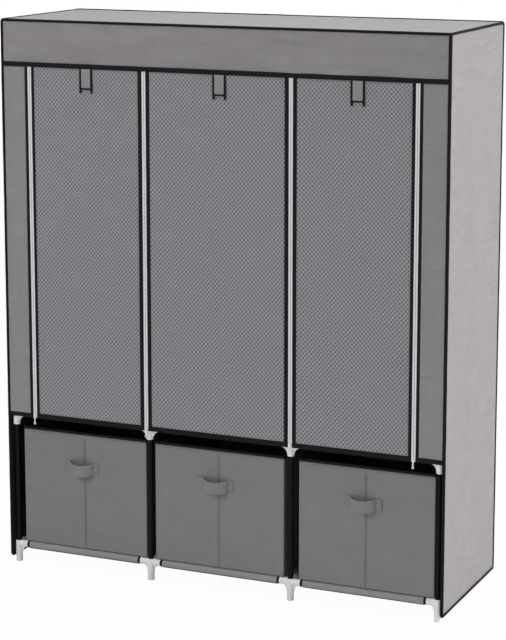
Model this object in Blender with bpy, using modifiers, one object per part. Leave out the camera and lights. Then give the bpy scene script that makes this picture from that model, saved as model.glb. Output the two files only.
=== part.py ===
# A fabric wardrobe: a steel tube frame held by plastic connectors, a sewn cloth cover with piped
# edges, three roll-up doors closed by four zips, and three cloth boxes that stand on the base shelf.
# Metres, +Z up, the front faces -Y, and the origin is on the floor under the middle of the cover.

import math

import bmesh
import bpy
from mathutils import Matrix, Vector

# Outside of the cover, over its piping.
wardrobe_width = 1.250
wardrobe_depth = 0.428
wardrobe_height = 1.492
hem_height = 0.0163  # lowest edge of the cover above the floor

# Clearances between neighbouring pieces.
seat_gap = 0.0003
running_gap = 0.0005
overrun = 0.004  # how far a cutter passes the face that it opens

# Frame of tubes.
tube_diameter = 0.0155
tube_wall = 0.0007
side_inset = 0.017  # from the outside of the cover to the outer uprights
front_inset = 0.0152  # from the outside of the cover to the front and back uprights
base_level = 0.0505
mid_level = 0.421
round_sides = 10

# Moulded connectors.
connector_wall = 0.00105
hub_swell = 0.0002
arm_reach = 0.0295
socket_stop = 0.012  # from a connector's centre to the end of a rail
upright_stop = 0.008
upright_seat = 0.002
socket_drop = 0.032
gusset_thickness = 0.004
foot_gusset_reach = 0.0215
foot_gusset_drop = 0.035
gusset_reach = 0.028
gusset_drop = 0.0295
hub_rounding = 0.002

# Hanging rails under the top and the brackets that carry them.
hanging_drop = 0.046
bracket_wall = 0.0020
bracket_width = 0.022
bracket_reach = 0.024
bracket_stop = 0.002
stem_width = 0.008
stem_depth = 0.016

# Cloth.
cloth = 0.0012
seam_lap = 0.0004  # how far sewn pieces run into each other
shelf_cloth = 0.0010
piping_diameter = 0.005
piping_corner = 0.0045
piping_proud = 0.0005  # how far the piping stands out of the cloth
sleeve_turn = 293.0  # degrees of a shelf sleeve round its rail

# Front of the cover.
valance_drop = 0.1235  # from the top of the cover to the valance's lowest edge
binding_height = 0.0124
valance_binding_front = 0.0016
valance_binding_back = 0.0018
strip_hem = 0.419  # lowest edge of the two fixed front strips
strip_binding = 0.0095
edge_binding_front = 0.0006
edge_binding_back = 0.0016

# Zips, each between two tapes.
strip_width = 0.083  # from the outside of the cover to the outer zips
inner_zip_offset = 0.0033333333  # from an inner upright outwards to its zip
tape_width = 0.0055  # from the zip's middle
tape_split = 0.00055
outer_binding = 0.0086
inner_binding = 0.0112
tape_end = 0.4165

# Doors.
door_hem = 0.4152  # lowest edge of a closed door
door_hem_height = 0.0133

# Zip sliders and their pulls.
slider_width = 0.0086
slider_height = 0.012
slider_level = 0.421
slider_front = 0.0016
slider_back = 0.0009
slider_play = 0.0004
slider_web = 0.0005
slider_web_height = 0.006
slider_corner = 0.002
arch_wire = 0.0012
arch_rise = 0.0026  # from the slider's face to the middle of the arch's wire
arch_height = 0.0056
pull_width = 0.0062
pull_length = 0.0245
pull_thickness = 0.0012
pull_slot_width = 0.0028
pull_slot_length = 0.0036
pull_bar = 0.0012
pull_hole = 0.0024
pull_hole_margin = 0.0020

# Tie straps in front of the doors.
strap_width = 0.038
strap_length = 0.0626
strap_thickness = 0.0012
strap_front = 0.0022
strap_edge = 0.0062
strap_tail = 0.0093
strap_play = 0.0006
strap_offsets = (0.001, 0.009, 0.011)  # from the middle of each door

# Cloth boxes on the base shelf.
box_play = 0.0188333333  # between a box and the uprights beside it, both sides together
box_depth = 0.385
box_height = 0.319
box_inset = 0.0125  # from the outside of the cover to the box's front
box_wall = 0.003
box_offsets = (0.0065, -0.001, 0.007)  # as pushed in, from the middle of each bay
rim_height = 0.0067
rim_proud = 0.0008
board_thickness = 0.0025
board_play = 0.0008
crease_depth = 0.0008
handle_level = 0.228
handle_offset = -0.008  # from the crease to the middle of the handle
handle_span = 0.104
handle_height = 0.032
handle_loop = 0.064
handle_bulge = 0.024
handle_droop = 0.006
handle_cloth = 0.0016

# Worked out from the sizes above.
tube_radius = tube_diameter / 2
bore_radius = tube_radius + seat_gap
arm_radius = bore_radius + connector_wall
hub_radius = arm_radius + hub_swell
piping_radius = piping_diameter / 2
cloth_x = wardrobe_width / 2 - piping_proud
cloth_front = -(wardrobe_depth / 2 - piping_proud)
cloth_back = -cloth_front
cloth_top = wardrobe_height - piping_proud
piping_x = wardrobe_width / 2 - piping_radius
piping_y = wardrobe_depth / 2 - piping_radius
piping_z = wardrobe_height - piping_radius
piping_hem = hem_height + piping_radius
panel_margin = piping_radius + seat_gap  # from the piping's middle to the edge of a panel
panel_x = piping_x - panel_margin
panel_y = piping_y - panel_margin
panel_corner = piping_corner - panel_margin
top_level = cloth_top - cloth - seat_gap - hub_radius
outer_upright = wardrobe_width / 2 - side_inset
upright_x = [outer_upright * share for share in (-1.0, -1 / 3, 1 / 3, 1.0)]
upright_y = wardrobe_depth / 2 - front_inset
bay_x = [(upright_x[bay] + upright_x[bay + 1]) / 2 for bay in range(3)]
box_width = upright_x[1] - upright_x[0] - tube_diameter - box_play
outer_zip = wardrobe_width / 2 - strip_width
inner_zip = upright_x[2] + inner_zip_offset
zip_x = [-outer_zip, -inner_zip, inner_zip, outer_zip]
zip_binding = [outer_binding, inner_binding, inner_binding, outer_binding]
valance_hem = wardrobe_height - valance_drop
front_top = valance_hem - seat_gap  # where the doors and strips end under the valance
bay_names = ("left", "middle", "right")
row_names = ("front", "back")

for item in list(bpy.data.objects):
    bpy.data.objects.remove(item, do_unlink=True)

wardrobe = bpy.data.collections.new("fabric_wardrobe")
cutters = bpy.data.collections.new("cutters")
bpy.context.scene.collection.children.link(wardrobe)
bpy.context.scene.collection.children.link(cutters)
cutters.hide_render = True

# Colours as seen, 0 to 255, with roughness and metallic.
finishes = {
    "black_tube": ((30, 28, 30), 0.35, 0.6),
    "white_plastic": ((214, 213, 212), 0.45, 0.0),
    "grey_cloth": ((150, 148, 151), 0.9, 0.0),
    "door_cloth": ((137, 135, 138), 0.9, 0.0),
    "box_cloth": ((114, 113, 116), 0.9, 0.0),
    "black_binding": ((28, 26, 30), 0.8, 0.0),
    "zip_tape": ((200, 199, 202), 0.6, 0.0),
    "zip_metal": ((205, 205, 207), 0.35, 0.8),
    "board": ((96, 92, 88), 0.95, 0.0),
}


def linear(value):
    share = value / 255
    return share / 12.92 if share <= 0.04045 else ((share + 0.055) / 1.055) ** 2.4


def finished(obj, finish):
    """Gives an object its own material and puts it in the wardrobe."""
    colour, roughness, metallic = finishes[finish]
    material = bpy.data.materials.new(f"{obj.name}_{finish}")
    material.use_nodes = True
    shader = material.node_tree.nodes["Principled BSDF"]
    shader.inputs["Base Color"].default_value = [linear(value) for value in colour] + [1.0]
    shader.inputs["Roughness"].default_value = roughness
    shader.inputs["Metallic"].default_value = metallic
    obj.data.materials.append(material)
    wardrobe.objects.link(obj)
    return obj


def finished_mesh(name, bm, finish, smooth=False):
    mesh = bpy.data.meshes.new(name)
    bm.to_mesh(mesh)
    bm.free()
    if smooth:
        mesh.shade_smooth()
        mesh.set_sharp_from_angle(angle=math.radians(40))
    return finished(bpy.data.objects.new(name, mesh), finish)


def mount_point(name, place):
    """An empty that carries the pieces of one moving assembly."""
    empty = bpy.data.objects.new(name, None)
    empty.location = place
    wardrobe.objects.link(empty)
    return empty


def carried(parent, *pieces):
    for piece in pieces:
        piece.parent = parent


def add_box(bm, low, high):
    low, high = Vector(low), Vector(high)
    scale = Matrix.Diagonal((high - low).to_4d())
    return bmesh.ops.create_cube(bm, size=1.0, matrix=Matrix.Translation((low + high) / 2) @ scale)


def box_mesh(low, high):
    bm = bmesh.new()
    add_box(bm, low, high)
    return as_mesh(bm)


def as_mesh(bm):
    mesh = bpy.data.meshes.new("part")
    bm.to_mesh(mesh)
    bm.free()
    return mesh


def axis_turn(axis):
    """Turns +Z to the named axis, the same way for a tube and for the socket that holds it."""
    if axis == "X":
        return Matrix.Rotation(math.radians(90), 4, "Y")
    if axis == "Y":
        return Matrix.Rotation(math.radians(-90), 4, "X")
    return Matrix.Identity(4)


def add_round(bm, axis, low, high, radius, end_radius=None, caps=True):
    """A cylinder or cone along an axis, from its low end to its high end."""
    low, high = Vector(low), Vector(high)
    return bmesh.ops.create_cone(
        bm,
        cap_ends=caps,
        segments=round_sides,
        radius1=radius,
        radius2=radius if end_radius is None else end_radius,
        depth=(high - low).length,
        matrix=Matrix.Translation((low + high) / 2) @ axis_turn(axis),
    )


def round_mesh(axis, low, high, radius, end_radius=None):
    bm = bmesh.new()
    add_round(bm, axis, low, high, radius, end_radius)
    return as_mesh(bm)


def flat_curve(name, outlines, thickness):
    """A flat plate in the XY plane from closed outlines, the first outside and the rest as holes."""
    curve = bpy.data.curves.new(name, "CURVE")
    curve.dimensions = "2D"
    curve.fill_mode = "BOTH"
    curve.extrude = thickness / 2
    for outline in outlines:
        spline = curve.splines.new("POLY")
        spline.points.add(len(outline) - 1)
        spline.use_cyclic_u = True
        for point, (x, y) in zip(spline.points, outline):
            point.co = (x, y, 0, 1)
    return curve


def mesh_of(obj):
    """The evaluated mesh of a helper object, with the object removed."""
    if not obj.users_collection:
        cutters.objects.link(obj)
    bpy.context.view_layer.update()
    mesh = bpy.data.meshes.new_from_object(obj.evaluated_get(bpy.context.evaluated_depsgraph_get()))
    bpy.data.objects.remove(obj, do_unlink=True)
    return mesh


def welded(mesh):
    bm = bmesh.new()
    bm.from_mesh(mesh)
    bmesh.ops.remove_doubles(bm, verts=bm.verts, dist=0.00001)
    bmesh.ops.recalc_face_normals(bm, faces=bm.faces)
    bm.to_mesh(mesh)
    bm.free()
    return mesh


def plate_mesh(outline, thickness):
    curve = flat_curve("plate", [outline], thickness)
    return welded(mesh_of(bpy.data.objects.new("plate", curve)))


def carved(solids, cuts):
    """Joins the solids into one and takes the cuts out of it."""
    body = bpy.data.objects.new("body", solids[0])
    cutters.objects.link(body)
    helpers = []
    steps = [("UNION", mesh) for mesh in solids[1:]] + [("DIFFERENCE", mesh) for mesh in cuts]
    for operation, mesh in steps:
        helper = bpy.data.objects.new("helper", mesh)
        cutters.objects.link(helper)
        modifier = body.modifiers.new(operation.lower(), "BOOLEAN")
        modifier.operation = operation
        modifier.object = helper
        helpers.append(helper)
    mesh = welded(mesh_of(body))
    for helper in helpers:
        bpy.data.objects.remove(helper, do_unlink=True)
    return mesh


def turned(mesh, matrix):
    mesh.transform(matrix)
    return mesh


def placed(mesh, place, x_side=1, y_side=1):
    """A copy of a mesh moved to its place, mirrored in x or y where a side is -1."""
    copy = mesh.copy()
    copy.transform(Matrix.Translation(place) @ Matrix.Diagonal((x_side, y_side, 1, 1)))
    if x_side * y_side < 0:
        copy.flip_normals()
    return copy


def smooth_object(name, mesh, finish):
    mesh.shade_smooth()
    mesh.set_sharp_from_angle(angle=math.radians(40))
    return finished(bpy.data.objects.new(name, mesh), finish)


def tube(name, axis, low, high):
    """An open tube along an axis."""
    bm = bmesh.new()
    add_round(bm, axis, low, high, tube_radius, caps=False)
    obj = finished_mesh(name, bm, "black_tube", smooth=True)
    wall = obj.modifiers.new("wall", "SOLIDIFY")
    wall.thickness = tube_wall
    wall.offset = -1.0
    wall.use_even_offset = True


def gusset(heading, reach, drop):
    """A curved web from the underside of an arm down to the upright."""
    steps = 3
    outline = [(0, 0), (reach, 0)]
    for step in range(steps + 1):
        angle = math.radians(90 * step / steps)
        across = reach - (reach - hub_radius + seat_gap) * math.sin(angle)
        outline.append((across, -drop + (drop - arm_radius + hub_swell) * math.cos(angle)))
    outline.append((0, -drop))
    upright = Matrix.Rotation(math.radians(heading), 4, "Z") @ Matrix.Rotation(math.radians(90), 4, "X")
    return turned(plate_mesh(outline, gusset_thickness), upright)


def arm(heading):
    along = "X" if heading % 180 == 0 else "Y"
    way = Matrix.Rotation(math.radians(heading), 3, "Z") @ Vector((1, 0, 0))
    ends = [way * -seam_lap, way * arm_reach]
    bores = [way * socket_stop, way * (arm_reach + overrun)]
    if way.x + way.y < 0:
        ends.reverse()
        bores.reverse()
    return round_mesh(along, *ends, arm_radius), round_mesh(along, *bores, bore_radius)


def hub(low, high, rounded=False):
    """The upright body of a connector, rounded at its lower end where it is a foot."""
    bm = bmesh.new()
    add_round(bm, "Z", (0, 0, low), (0, 0, high), hub_radius)
    if rounded:
        rim = [edge for edge in bm.edges if all(abs(vert.co.z - low) < seat_gap for vert in edge.verts)]
        bmesh.ops.bevel(
            bm, geom=rim, offset=hub_rounding, segments=1, affect="EDGES", profile=0.5, material=-1
        )
    return as_mesh(bm)


def connector(headings, bored, level):
    """A socket connector with its centre at the origin. The arms that a loose rail enters are bored."""
    solids, cuts = [], []
    reach, drop = gusset_reach, gusset_drop
    if level == "base":
        reach, drop = foot_gusset_reach, foot_gusset_drop
        solids.append(hub(-base_level, hub_radius, rounded=True))
    elif level == "mid":
        solids.append(hub(-socket_drop, hub_radius))
        cuts.append(round_mesh("Z", (0, 0, -socket_drop - overrun), (0, 0, -upright_stop), bore_radius))
    else:
        solids.append(hub(-socket_drop, hub_radius))
    if level != "top":
        cuts.append(round_mesh("Z", (0, 0, -upright_seat), (0, 0, hub_radius + overrun), bore_radius))
    for heading in headings:
        solid, cut = arm(heading)
        solids.append(gusset(heading, reach, drop))
        if heading in bored:
            cuts.append(cut)
        if 180 not in headings or heading == 90:
            solids.append(solid)
    if 180 in headings:
        solids.append(round_mesh("X", (-arm_reach, 0, 0), (arm_reach, 0, 0), arm_radius))
    return carved(solids, cuts)


def frame_row(level, height, row):
    """Four connectors and the rails between them. The back row also carries the four side rails, which
    enter the front row's connectors, and the top rows carry the upper uprights."""
    side = (-1, 1)[row]
    bored = () if row else (90,)
    corner = connector((0, 90), bored, level)
    tee = connector((0, 90, 180), bored, level)
    solids = []
    for mesh, x, x_side in zip((corner, tee, tee, corner), upright_x, (1, 1, 1, -1)):
        solids.append(placed(mesh, (x, side * upright_y, height), x_side, -side))
    for bay in range(3):
        start, end = upright_x[bay] + socket_stop, upright_x[bay + 1] - socket_stop
        y = side * upright_y
        solids.append(round_mesh("X", (start, y, height), (end, y, height), tube_radius))
    if row:
        start, end = -upright_y + socket_stop + seat_gap, upright_y - socket_stop
        for x in upright_x:
            solids.append(round_mesh("Y", (x, start, height), (x, end, height), tube_radius))
    if level == "top":
        start, end = mid_level - upright_seat + seat_gap, top_level - socket_stop
        for x in upright_x:
            y = side * upright_y
            solids.append(round_mesh("Z", (x, y, start), (x, y, end), tube_radius))
        if row:
            solids += brackets()
    smooth_object(f"{level}_{row_names[row]}_frame", carved(solids, []), "white_plastic")


def brackets():
    """Brackets clasped round the top side rails, each with a socket for every hanging rail it carries."""
    outer = bore_radius + bracket_wall
    low, start, end = -hanging_drop, bracket_stop, bracket_reach
    clasp = round_mesh("Y", (0, -bracket_width / 2, 0), (0, bracket_width / 2, 0), arm_radius)
    stem = box_mesh((-stem_width / 2, -stem_depth / 2, low), (stem_width / 2, stem_depth / 2, 0))
    two_way = round_mesh("X", (-end, 0, low), (end, 0, low), outer)
    one_way = round_mesh("X", (-stem_width, 0, low), (end, 0, low), outer)
    right = round_mesh("X", (start, 0, low), (end + overrun, 0, low), bore_radius)
    left = round_mesh("X", (-end - overrun, 0, low), (-start, 0, low), bore_radius)
    end_bracket = carved([clasp.copy(), stem.copy(), one_way], [right.copy()])
    inner_bracket = carved([clasp, stem, two_way], [right, left])
    kinds = zip((end_bracket, inner_bracket, inner_bracket, end_bracket), upright_x, (1, 1, 1, -1))
    return [placed(mesh, (x, 0, top_level), x_side) for mesh, x, x_side in kinds]


def lower_uprights():
    start, end = base_level - upright_seat + seat_gap, mid_level - upright_stop - seat_gap
    for row, y in zip(row_names, (-upright_y, upright_y)):
        for number, x in enumerate(upright_x, start=1):
            tube(f"lower_upright_{row}_{number}", "Z", (x, y, start), (x, y, end))


def hanging_rails():
    """A rail for hangers in each bay, between the brackets."""
    inset = bracket_stop + seat_gap
    height = top_level - hanging_drop
    for bay, name in enumerate(bay_names):
        start, end = upright_x[bay] + inset, upright_x[bay + 1] - inset
        tube(f"hanging_rail_{name}", "X", (start, 0, height), (end, 0, height))


def sleeve(middle, outward):
    """Points round a rail, from the flat web over the rail's top and nearly back to it."""
    steps = 11
    radius = (bore_radius + shelf_cloth / 2) / math.cos(math.radians(sleeve_turn / steps / 2))
    points = []
    for step in range(steps + 1):
        angle = math.radians(90 + sleeve_turn * step / steps)
        points.append((middle[0] + outward * -radius * math.cos(angle), middle[1] + radius * math.sin(angle)))
    return points


def shelves(level, height):
    """Cloth stretched over the front and back rails of each bay, with a sleeve round each rail. Between
    the connectors it reaches sideways over the side rails, where it meets the next bay's cloth."""
    front = sleeve((-upright_y, height), -1)
    back = sleeve((upright_y, height), 1)
    margin = arm_reach + seat_gap
    web = [(y, front[0][1]) for y in (margin - upright_y, upright_y - margin)]
    profile = list(reversed(front)) + web + back
    for bay, name in enumerate(bay_names):
        left, right = upright_x[bay], upright_x[bay + 1]
        strips = (
            (web, left + seat_gap / 2, left + margin),
            (profile, left + margin, right - margin),
            (web, right - margin, right - seat_gap / 2),
        )
        bm = bmesh.new()
        for points, start, end in strips:
            rows = [[bm.verts.new((x, y, z)) for y, z in points] for x in (start, end)]
            for index in range(len(points) - 1):
                bm.faces.new((rows[0][index], rows[0][index + 1], rows[1][index + 1], rows[1][index]))
        bmesh.ops.remove_doubles(bm, verts=bm.verts, dist=seat_gap / 10)
        obj = finished_mesh(f"{level}_shelf_{name}", bm, "box_cloth", smooth=True)
        thickness = obj.modifiers.new("cloth", "SOLIDIFY")
        thickness.thickness = shelf_cloth
        thickness.offset = 0.0
        thickness.use_even_offset = True


def panel(name, low, high, finish, corner=0.0):
    """A flat panel of cloth, its corners rounded to follow the piping where corner is given."""
    bm = bmesh.new()
    add_box(bm, low, high)
    if corner:
        sizes = [top - bottom for bottom, top in zip(low, high)]
        thin = sizes.index(min(sizes))
        edges = [edge for edge in bm.edges if abs(edge.verts[0].co[thin] - edge.verts[1].co[thin]) > cloth / 2]
        bmesh.ops.bevel(bm, geom=edges, offset=corner, segments=2, affect="EDGES", profile=0.5, material=-1)
    return finished_mesh(name, bm, finish)


def sewn(name, boxes, finish):
    """One piece from boxes of cloth and binding that run into each other."""
    solids = [box_mesh(low, high) for low, high in boxes]
    return finished(bpy.data.objects.new(name, carved(solids, [])), finish)


def rounded_path(points, radius):
    """The points of a closed path whose corners are arcs."""
    steps = 2
    path = []
    for index, point in enumerate(points):
        corner = Vector(point)
        before = (Vector(points[index - 1]) - corner).normalized()
        after = (Vector(points[(index + 1) % len(points)]) - corner).normalized()
        centre = corner + (before + after) * radius
        for step in range(steps + 1):
            angle = math.radians(90 * step / steps)
            path.append(centre - after * radius * math.cos(angle) - before * radius * math.sin(angle))
    return path


def cover():
    """The sewn cover: top, sides, back, valance and the two fixed strips beside the outer zips."""
    side_low, side_high = piping_hem + panel_margin, piping_z - panel_margin
    front_back = cloth_front + cloth
    panel(
        "cover_top",
        (-panel_x, -panel_y, cloth_top - cloth),
        (panel_x, panel_y, cloth_top),
        "grey_cloth",
    )
    for side, name in ((-1, "cover_left_side"), (1, "cover_right_side")):
        low, high = sorted((side * cloth_x, side * (cloth_x - cloth)))
        panel(name, (low, -panel_y, side_low), (high, panel_y, side_high), "grey_cloth", panel_corner)
    panel(
        "cover_back",
        (-panel_x, cloth_back - cloth, side_low),
        (panel_x, cloth_back, side_high),
        "grey_cloth",
    )
    sewn(
        "cover_valance",
        [
            ((-panel_x, cloth_front, valance_hem + seam_lap), (panel_x, front_back, side_high)),
            (
                (-panel_x, cloth_front - valance_binding_front, valance_hem),
                (panel_x, cloth_front + valance_binding_back, valance_hem + binding_height),
            ),
        ],
        "grey_cloth",
    )
    bound_front, bound_back = cloth_front - edge_binding_front, cloth_front + edge_binding_back
    edges = [outer_zip + tape_split, outer_zip + tape_width, outer_zip + tape_width + outer_binding]
    for side, name in ((-1, "cover_left_strip"), (1, "cover_right_strip")):
        boxes = []
        for near, far, low, front, back in (
            (edges[0], edges[1] + seam_lap, tape_end, cloth_front, front_back),
            (edges[1], edges[2], strip_hem, bound_front, bound_back),
            (edges[2] - seam_lap, panel_x, strip_hem + seam_lap, cloth_front, front_back),
        ):
            left, right = sorted((side * near, side * far))
            boxes.append(((left, front, low), (right, back, front_top)))
        left, right = sorted((side * (edges[2] - seam_lap), side * panel_x))
        boxes.append(((left, bound_front, strip_hem), (right, bound_back, strip_hem + strip_binding)))
        sewn(name, boxes, "grey_cloth")


def cover_piping():
    """Piping along the cover's edges: a loop round each side, and three bars between the loops."""
    loops = []
    for x in (-piping_x, piping_x):
        corners = [
            (x, -piping_y, piping_hem),
            (x, -piping_y, piping_z),
            (x, piping_y, piping_z),
            (x, piping_y, piping_hem),
        ]
        loops.append((rounded_path(corners, piping_corner), True))
    for y, z in ((-piping_y, piping_z), (piping_y, piping_z), (piping_y, piping_hem)):
        loops.append(([Vector((-piping_x, y, z)), Vector((piping_x, y, z))], False))
    solids = []
    for points, closed in loops:
        curve = bpy.data.curves.new("piping", "CURVE")
        curve.dimensions = "3D"
        curve.bevel_depth = piping_radius
        curve.bevel_resolution = 1
        curve.use_fill_caps = True
        spline = curve.splines.new("POLY")
        spline.points.add(len(points) - 1)
        spline.use_cyclic_u = closed
        for point, place in zip(spline.points, points):
            point.co = (*place, 1)
        solids.append(welded(mesh_of(bpy.data.objects.new("piping", curve))))
    smooth_object("cover_piping", carved(solids, []), "black_binding")


def door(bay):
    """A cloth door with a binding and half a zip down each side, and a hem bar that follows it up."""
    name = f"door_{bay_names[bay]}"
    left, right = zip_x[bay], zip_x[bay + 1]
    bottom = door_hem + door_hem_height + seat_gap
    bound_front, bound_back = cloth_front - edge_binding_front, cloth_front + edge_binding_back
    back = cloth_front + cloth
    boxes = []
    edges = [
        left + tape_split,
        left + tape_width,
        left + tape_width + zip_binding[bay],
        right - tape_width - zip_binding[bay + 1],
        right - tape_width,
        right - tape_split,
    ]
    for near, far, low, thick in (
        (edges[0], edges[1] + seam_lap, tape_end, False),
        (edges[1], edges[2], bottom, True),
        (edges[2] - seam_lap, edges[3] + seam_lap, bottom, False),
        (edges[3], edges[4], bottom, True),
        (edges[4] - seam_lap, edges[5], tape_end, False),
    ):
        front, rear = (bound_front, bound_back) if thick else (cloth_front, back)
        boxes.append(((near, front, low), (far, rear, front_top)))
    boxes[0] = (boxes[0][0], (edges[1], back, front_top))
    boxes[4] = ((edges[4], cloth_front, tape_end), boxes[4][1])
    laps = [
        ((edges[1] - seam_lap, cloth_front, bottom), (edges[1] + seam_lap, back, front_top)),
        ((edges[4] - seam_lap, cloth_front, bottom), (edges[4] + seam_lap, back, front_top)),
    ]
    place = Vector(((left + right) / 2, cloth_front, door_hem))
    cloth_piece = sewn(f"{name}_cloth", boxes + laps, "door_cloth")
    margin = tape_width + seat_gap
    hem_low = (left + margin, bound_front, door_hem)
    hem_high = (right - margin, bound_back, door_hem + door_hem_height)
    hem = finished(bpy.data.objects.new(f"{name}_hem", box_mesh(hem_low, hem_high)), "black_binding")
    hem_point = mount_point(f"{name}_slide", place)
    for piece in (cloth_piece, hem):
        piece.data.transform(Matrix.Translation(-place))
    carried(hem_point, cloth_piece, hem)


def slider_mesh():
    """Two plates joined by a web between the tapes, with an arch for the pull on the front."""
    half = slider_width / 2
    face = -slider_play - slider_front
    rear = cloth + seat_gap
    plates = []
    for low, high in ((face, -slider_play), (rear, rear + slider_back)):
        bm = bmesh.new()
        add_box(bm, (-half, low, -slider_height / 2), (half, high, slider_height / 2))
        edges = [edge for edge in bm.edges if abs(edge.verts[0].co.y - edge.verts[1].co.y) > slider_back / 2]
        bmesh.ops.bevel(
            bm, geom=edges, offset=slider_corner, segments=2, affect="EDGES", profile=0.5, material=-1
        )
        plates.append(as_mesh(bm))
    web = box_mesh(
        (-slider_web / 2, -slider_play - slider_front / 2, -slider_web_height / 2),
        (slider_web / 2, rear + slider_back / 2, slider_web_height / 2),
    )
    curve = bpy.data.curves.new("arch", "CURVE")
    curve.dimensions = "3D"
    curve.bevel_depth = arch_wire / 2
    curve.bevel_resolution = 1
    curve.use_fill_caps = True
    spline = curve.splines.new("POLY")
    steps = 6
    spline.points.add(steps + 2)
    for step in range(steps + 1):
        angle = math.radians(180 * step / steps)
        out = face - arch_rise * math.sin(angle) ** 0.5
        spline.points[step + 1].co = (0, out, arch_height / 2 * math.cos(angle), 1)
    root = face + slider_front / 2
    spline.points[0].co = (0, root, arch_height / 2, 1)
    spline.points[steps + 2].co = (0, root, -arch_height / 2, 1)
    arch = welded(mesh_of(bpy.data.objects.new("arch", curve)))
    return carved([plates[0], web, plates[1], arch], [])


def pull_outlines():
    """A tab with a slot for the arch at its top and a round hole near its tip, hinged at its top bar."""
    half = pull_width / 2
    top = pull_bar / 2
    tip = top - pull_length
    steps = 6
    outline = [(half, top), (-half, top)]
    for step in range(steps + 1):
        angle = math.radians(180 + 180 * step / steps)
        outline.append((half * math.cos(angle), tip + half + half * math.sin(angle)))
    slot_half = pull_slot_width / 2
    slot_top, slot_end = -pull_bar / 2, -pull_bar / 2 - pull_slot_length
    slot = [(slot_half, slot_top), (-slot_half, slot_top), (-slot_half, slot_end), (slot_half, slot_end)]
    sides = 8
    middle = tip + pull_hole_margin + pull_hole / 2
    hole = []
    for side in range(sides):
        angle = math.radians(360 * side / sides)
        hole.append((pull_hole / 2 * math.cos(angle), middle + pull_hole / 2 * math.sin(angle)))
    return [outline, slot, hole]


def zip_slider(number, x):
    place = Vector((x, cloth_front, slider_level))
    slider = finished(bpy.data.objects.new(f"zip_slider_{number}", slider_mesh()), "zip_metal")
    slider.location = place
    pull = flat_curve(f"zip_pull_{number}", pull_outlines(), pull_thickness)
    tab = finished(bpy.data.objects.new(f"zip_pull_{number}", pull), "zip_metal")
    inside = (arch_rise - arch_wire / 2) / 2  # the pull's bar is midway between face and arch
    tab.location = (0, -slider_play - slider_front - inside, 0)
    tab.rotation_euler = (math.radians(90), 0, 0)
    carried(slider, tab)


def tie_strap(bay):
    """A strap that hangs in front of a door, its two bound edges longer than its middle."""
    half = strap_width / 2
    top = strap_thickness / 2
    low, notch = top - strap_length, top - strap_length + strap_tail
    inner = half - strap_edge
    outline = [
        (half, top),
        (-half, top),
        (-half, low),
        (-inner, low),
        (-inner, notch),
        (inner, notch),
        (inner, low),
        (half, low),
    ]
    curve = flat_curve(f"tie_strap_{bay_names[bay]}", [outline], strap_thickness)
    strap = finished(bpy.data.objects.new(f"tie_strap_{bay_names[bay]}", curve), "grey_cloth")
    middle = (zip_x[bay] + zip_x[bay + 1]) / 2 + strap_offsets[bay]
    strap.location = (
        middle,
        cloth_front - strap_front + strap_thickness / 2,
        valance_hem - strap_play - strap_thickness / 2,
    )
    strap.rotation_euler = (math.radians(90), 0, 0)


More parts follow.
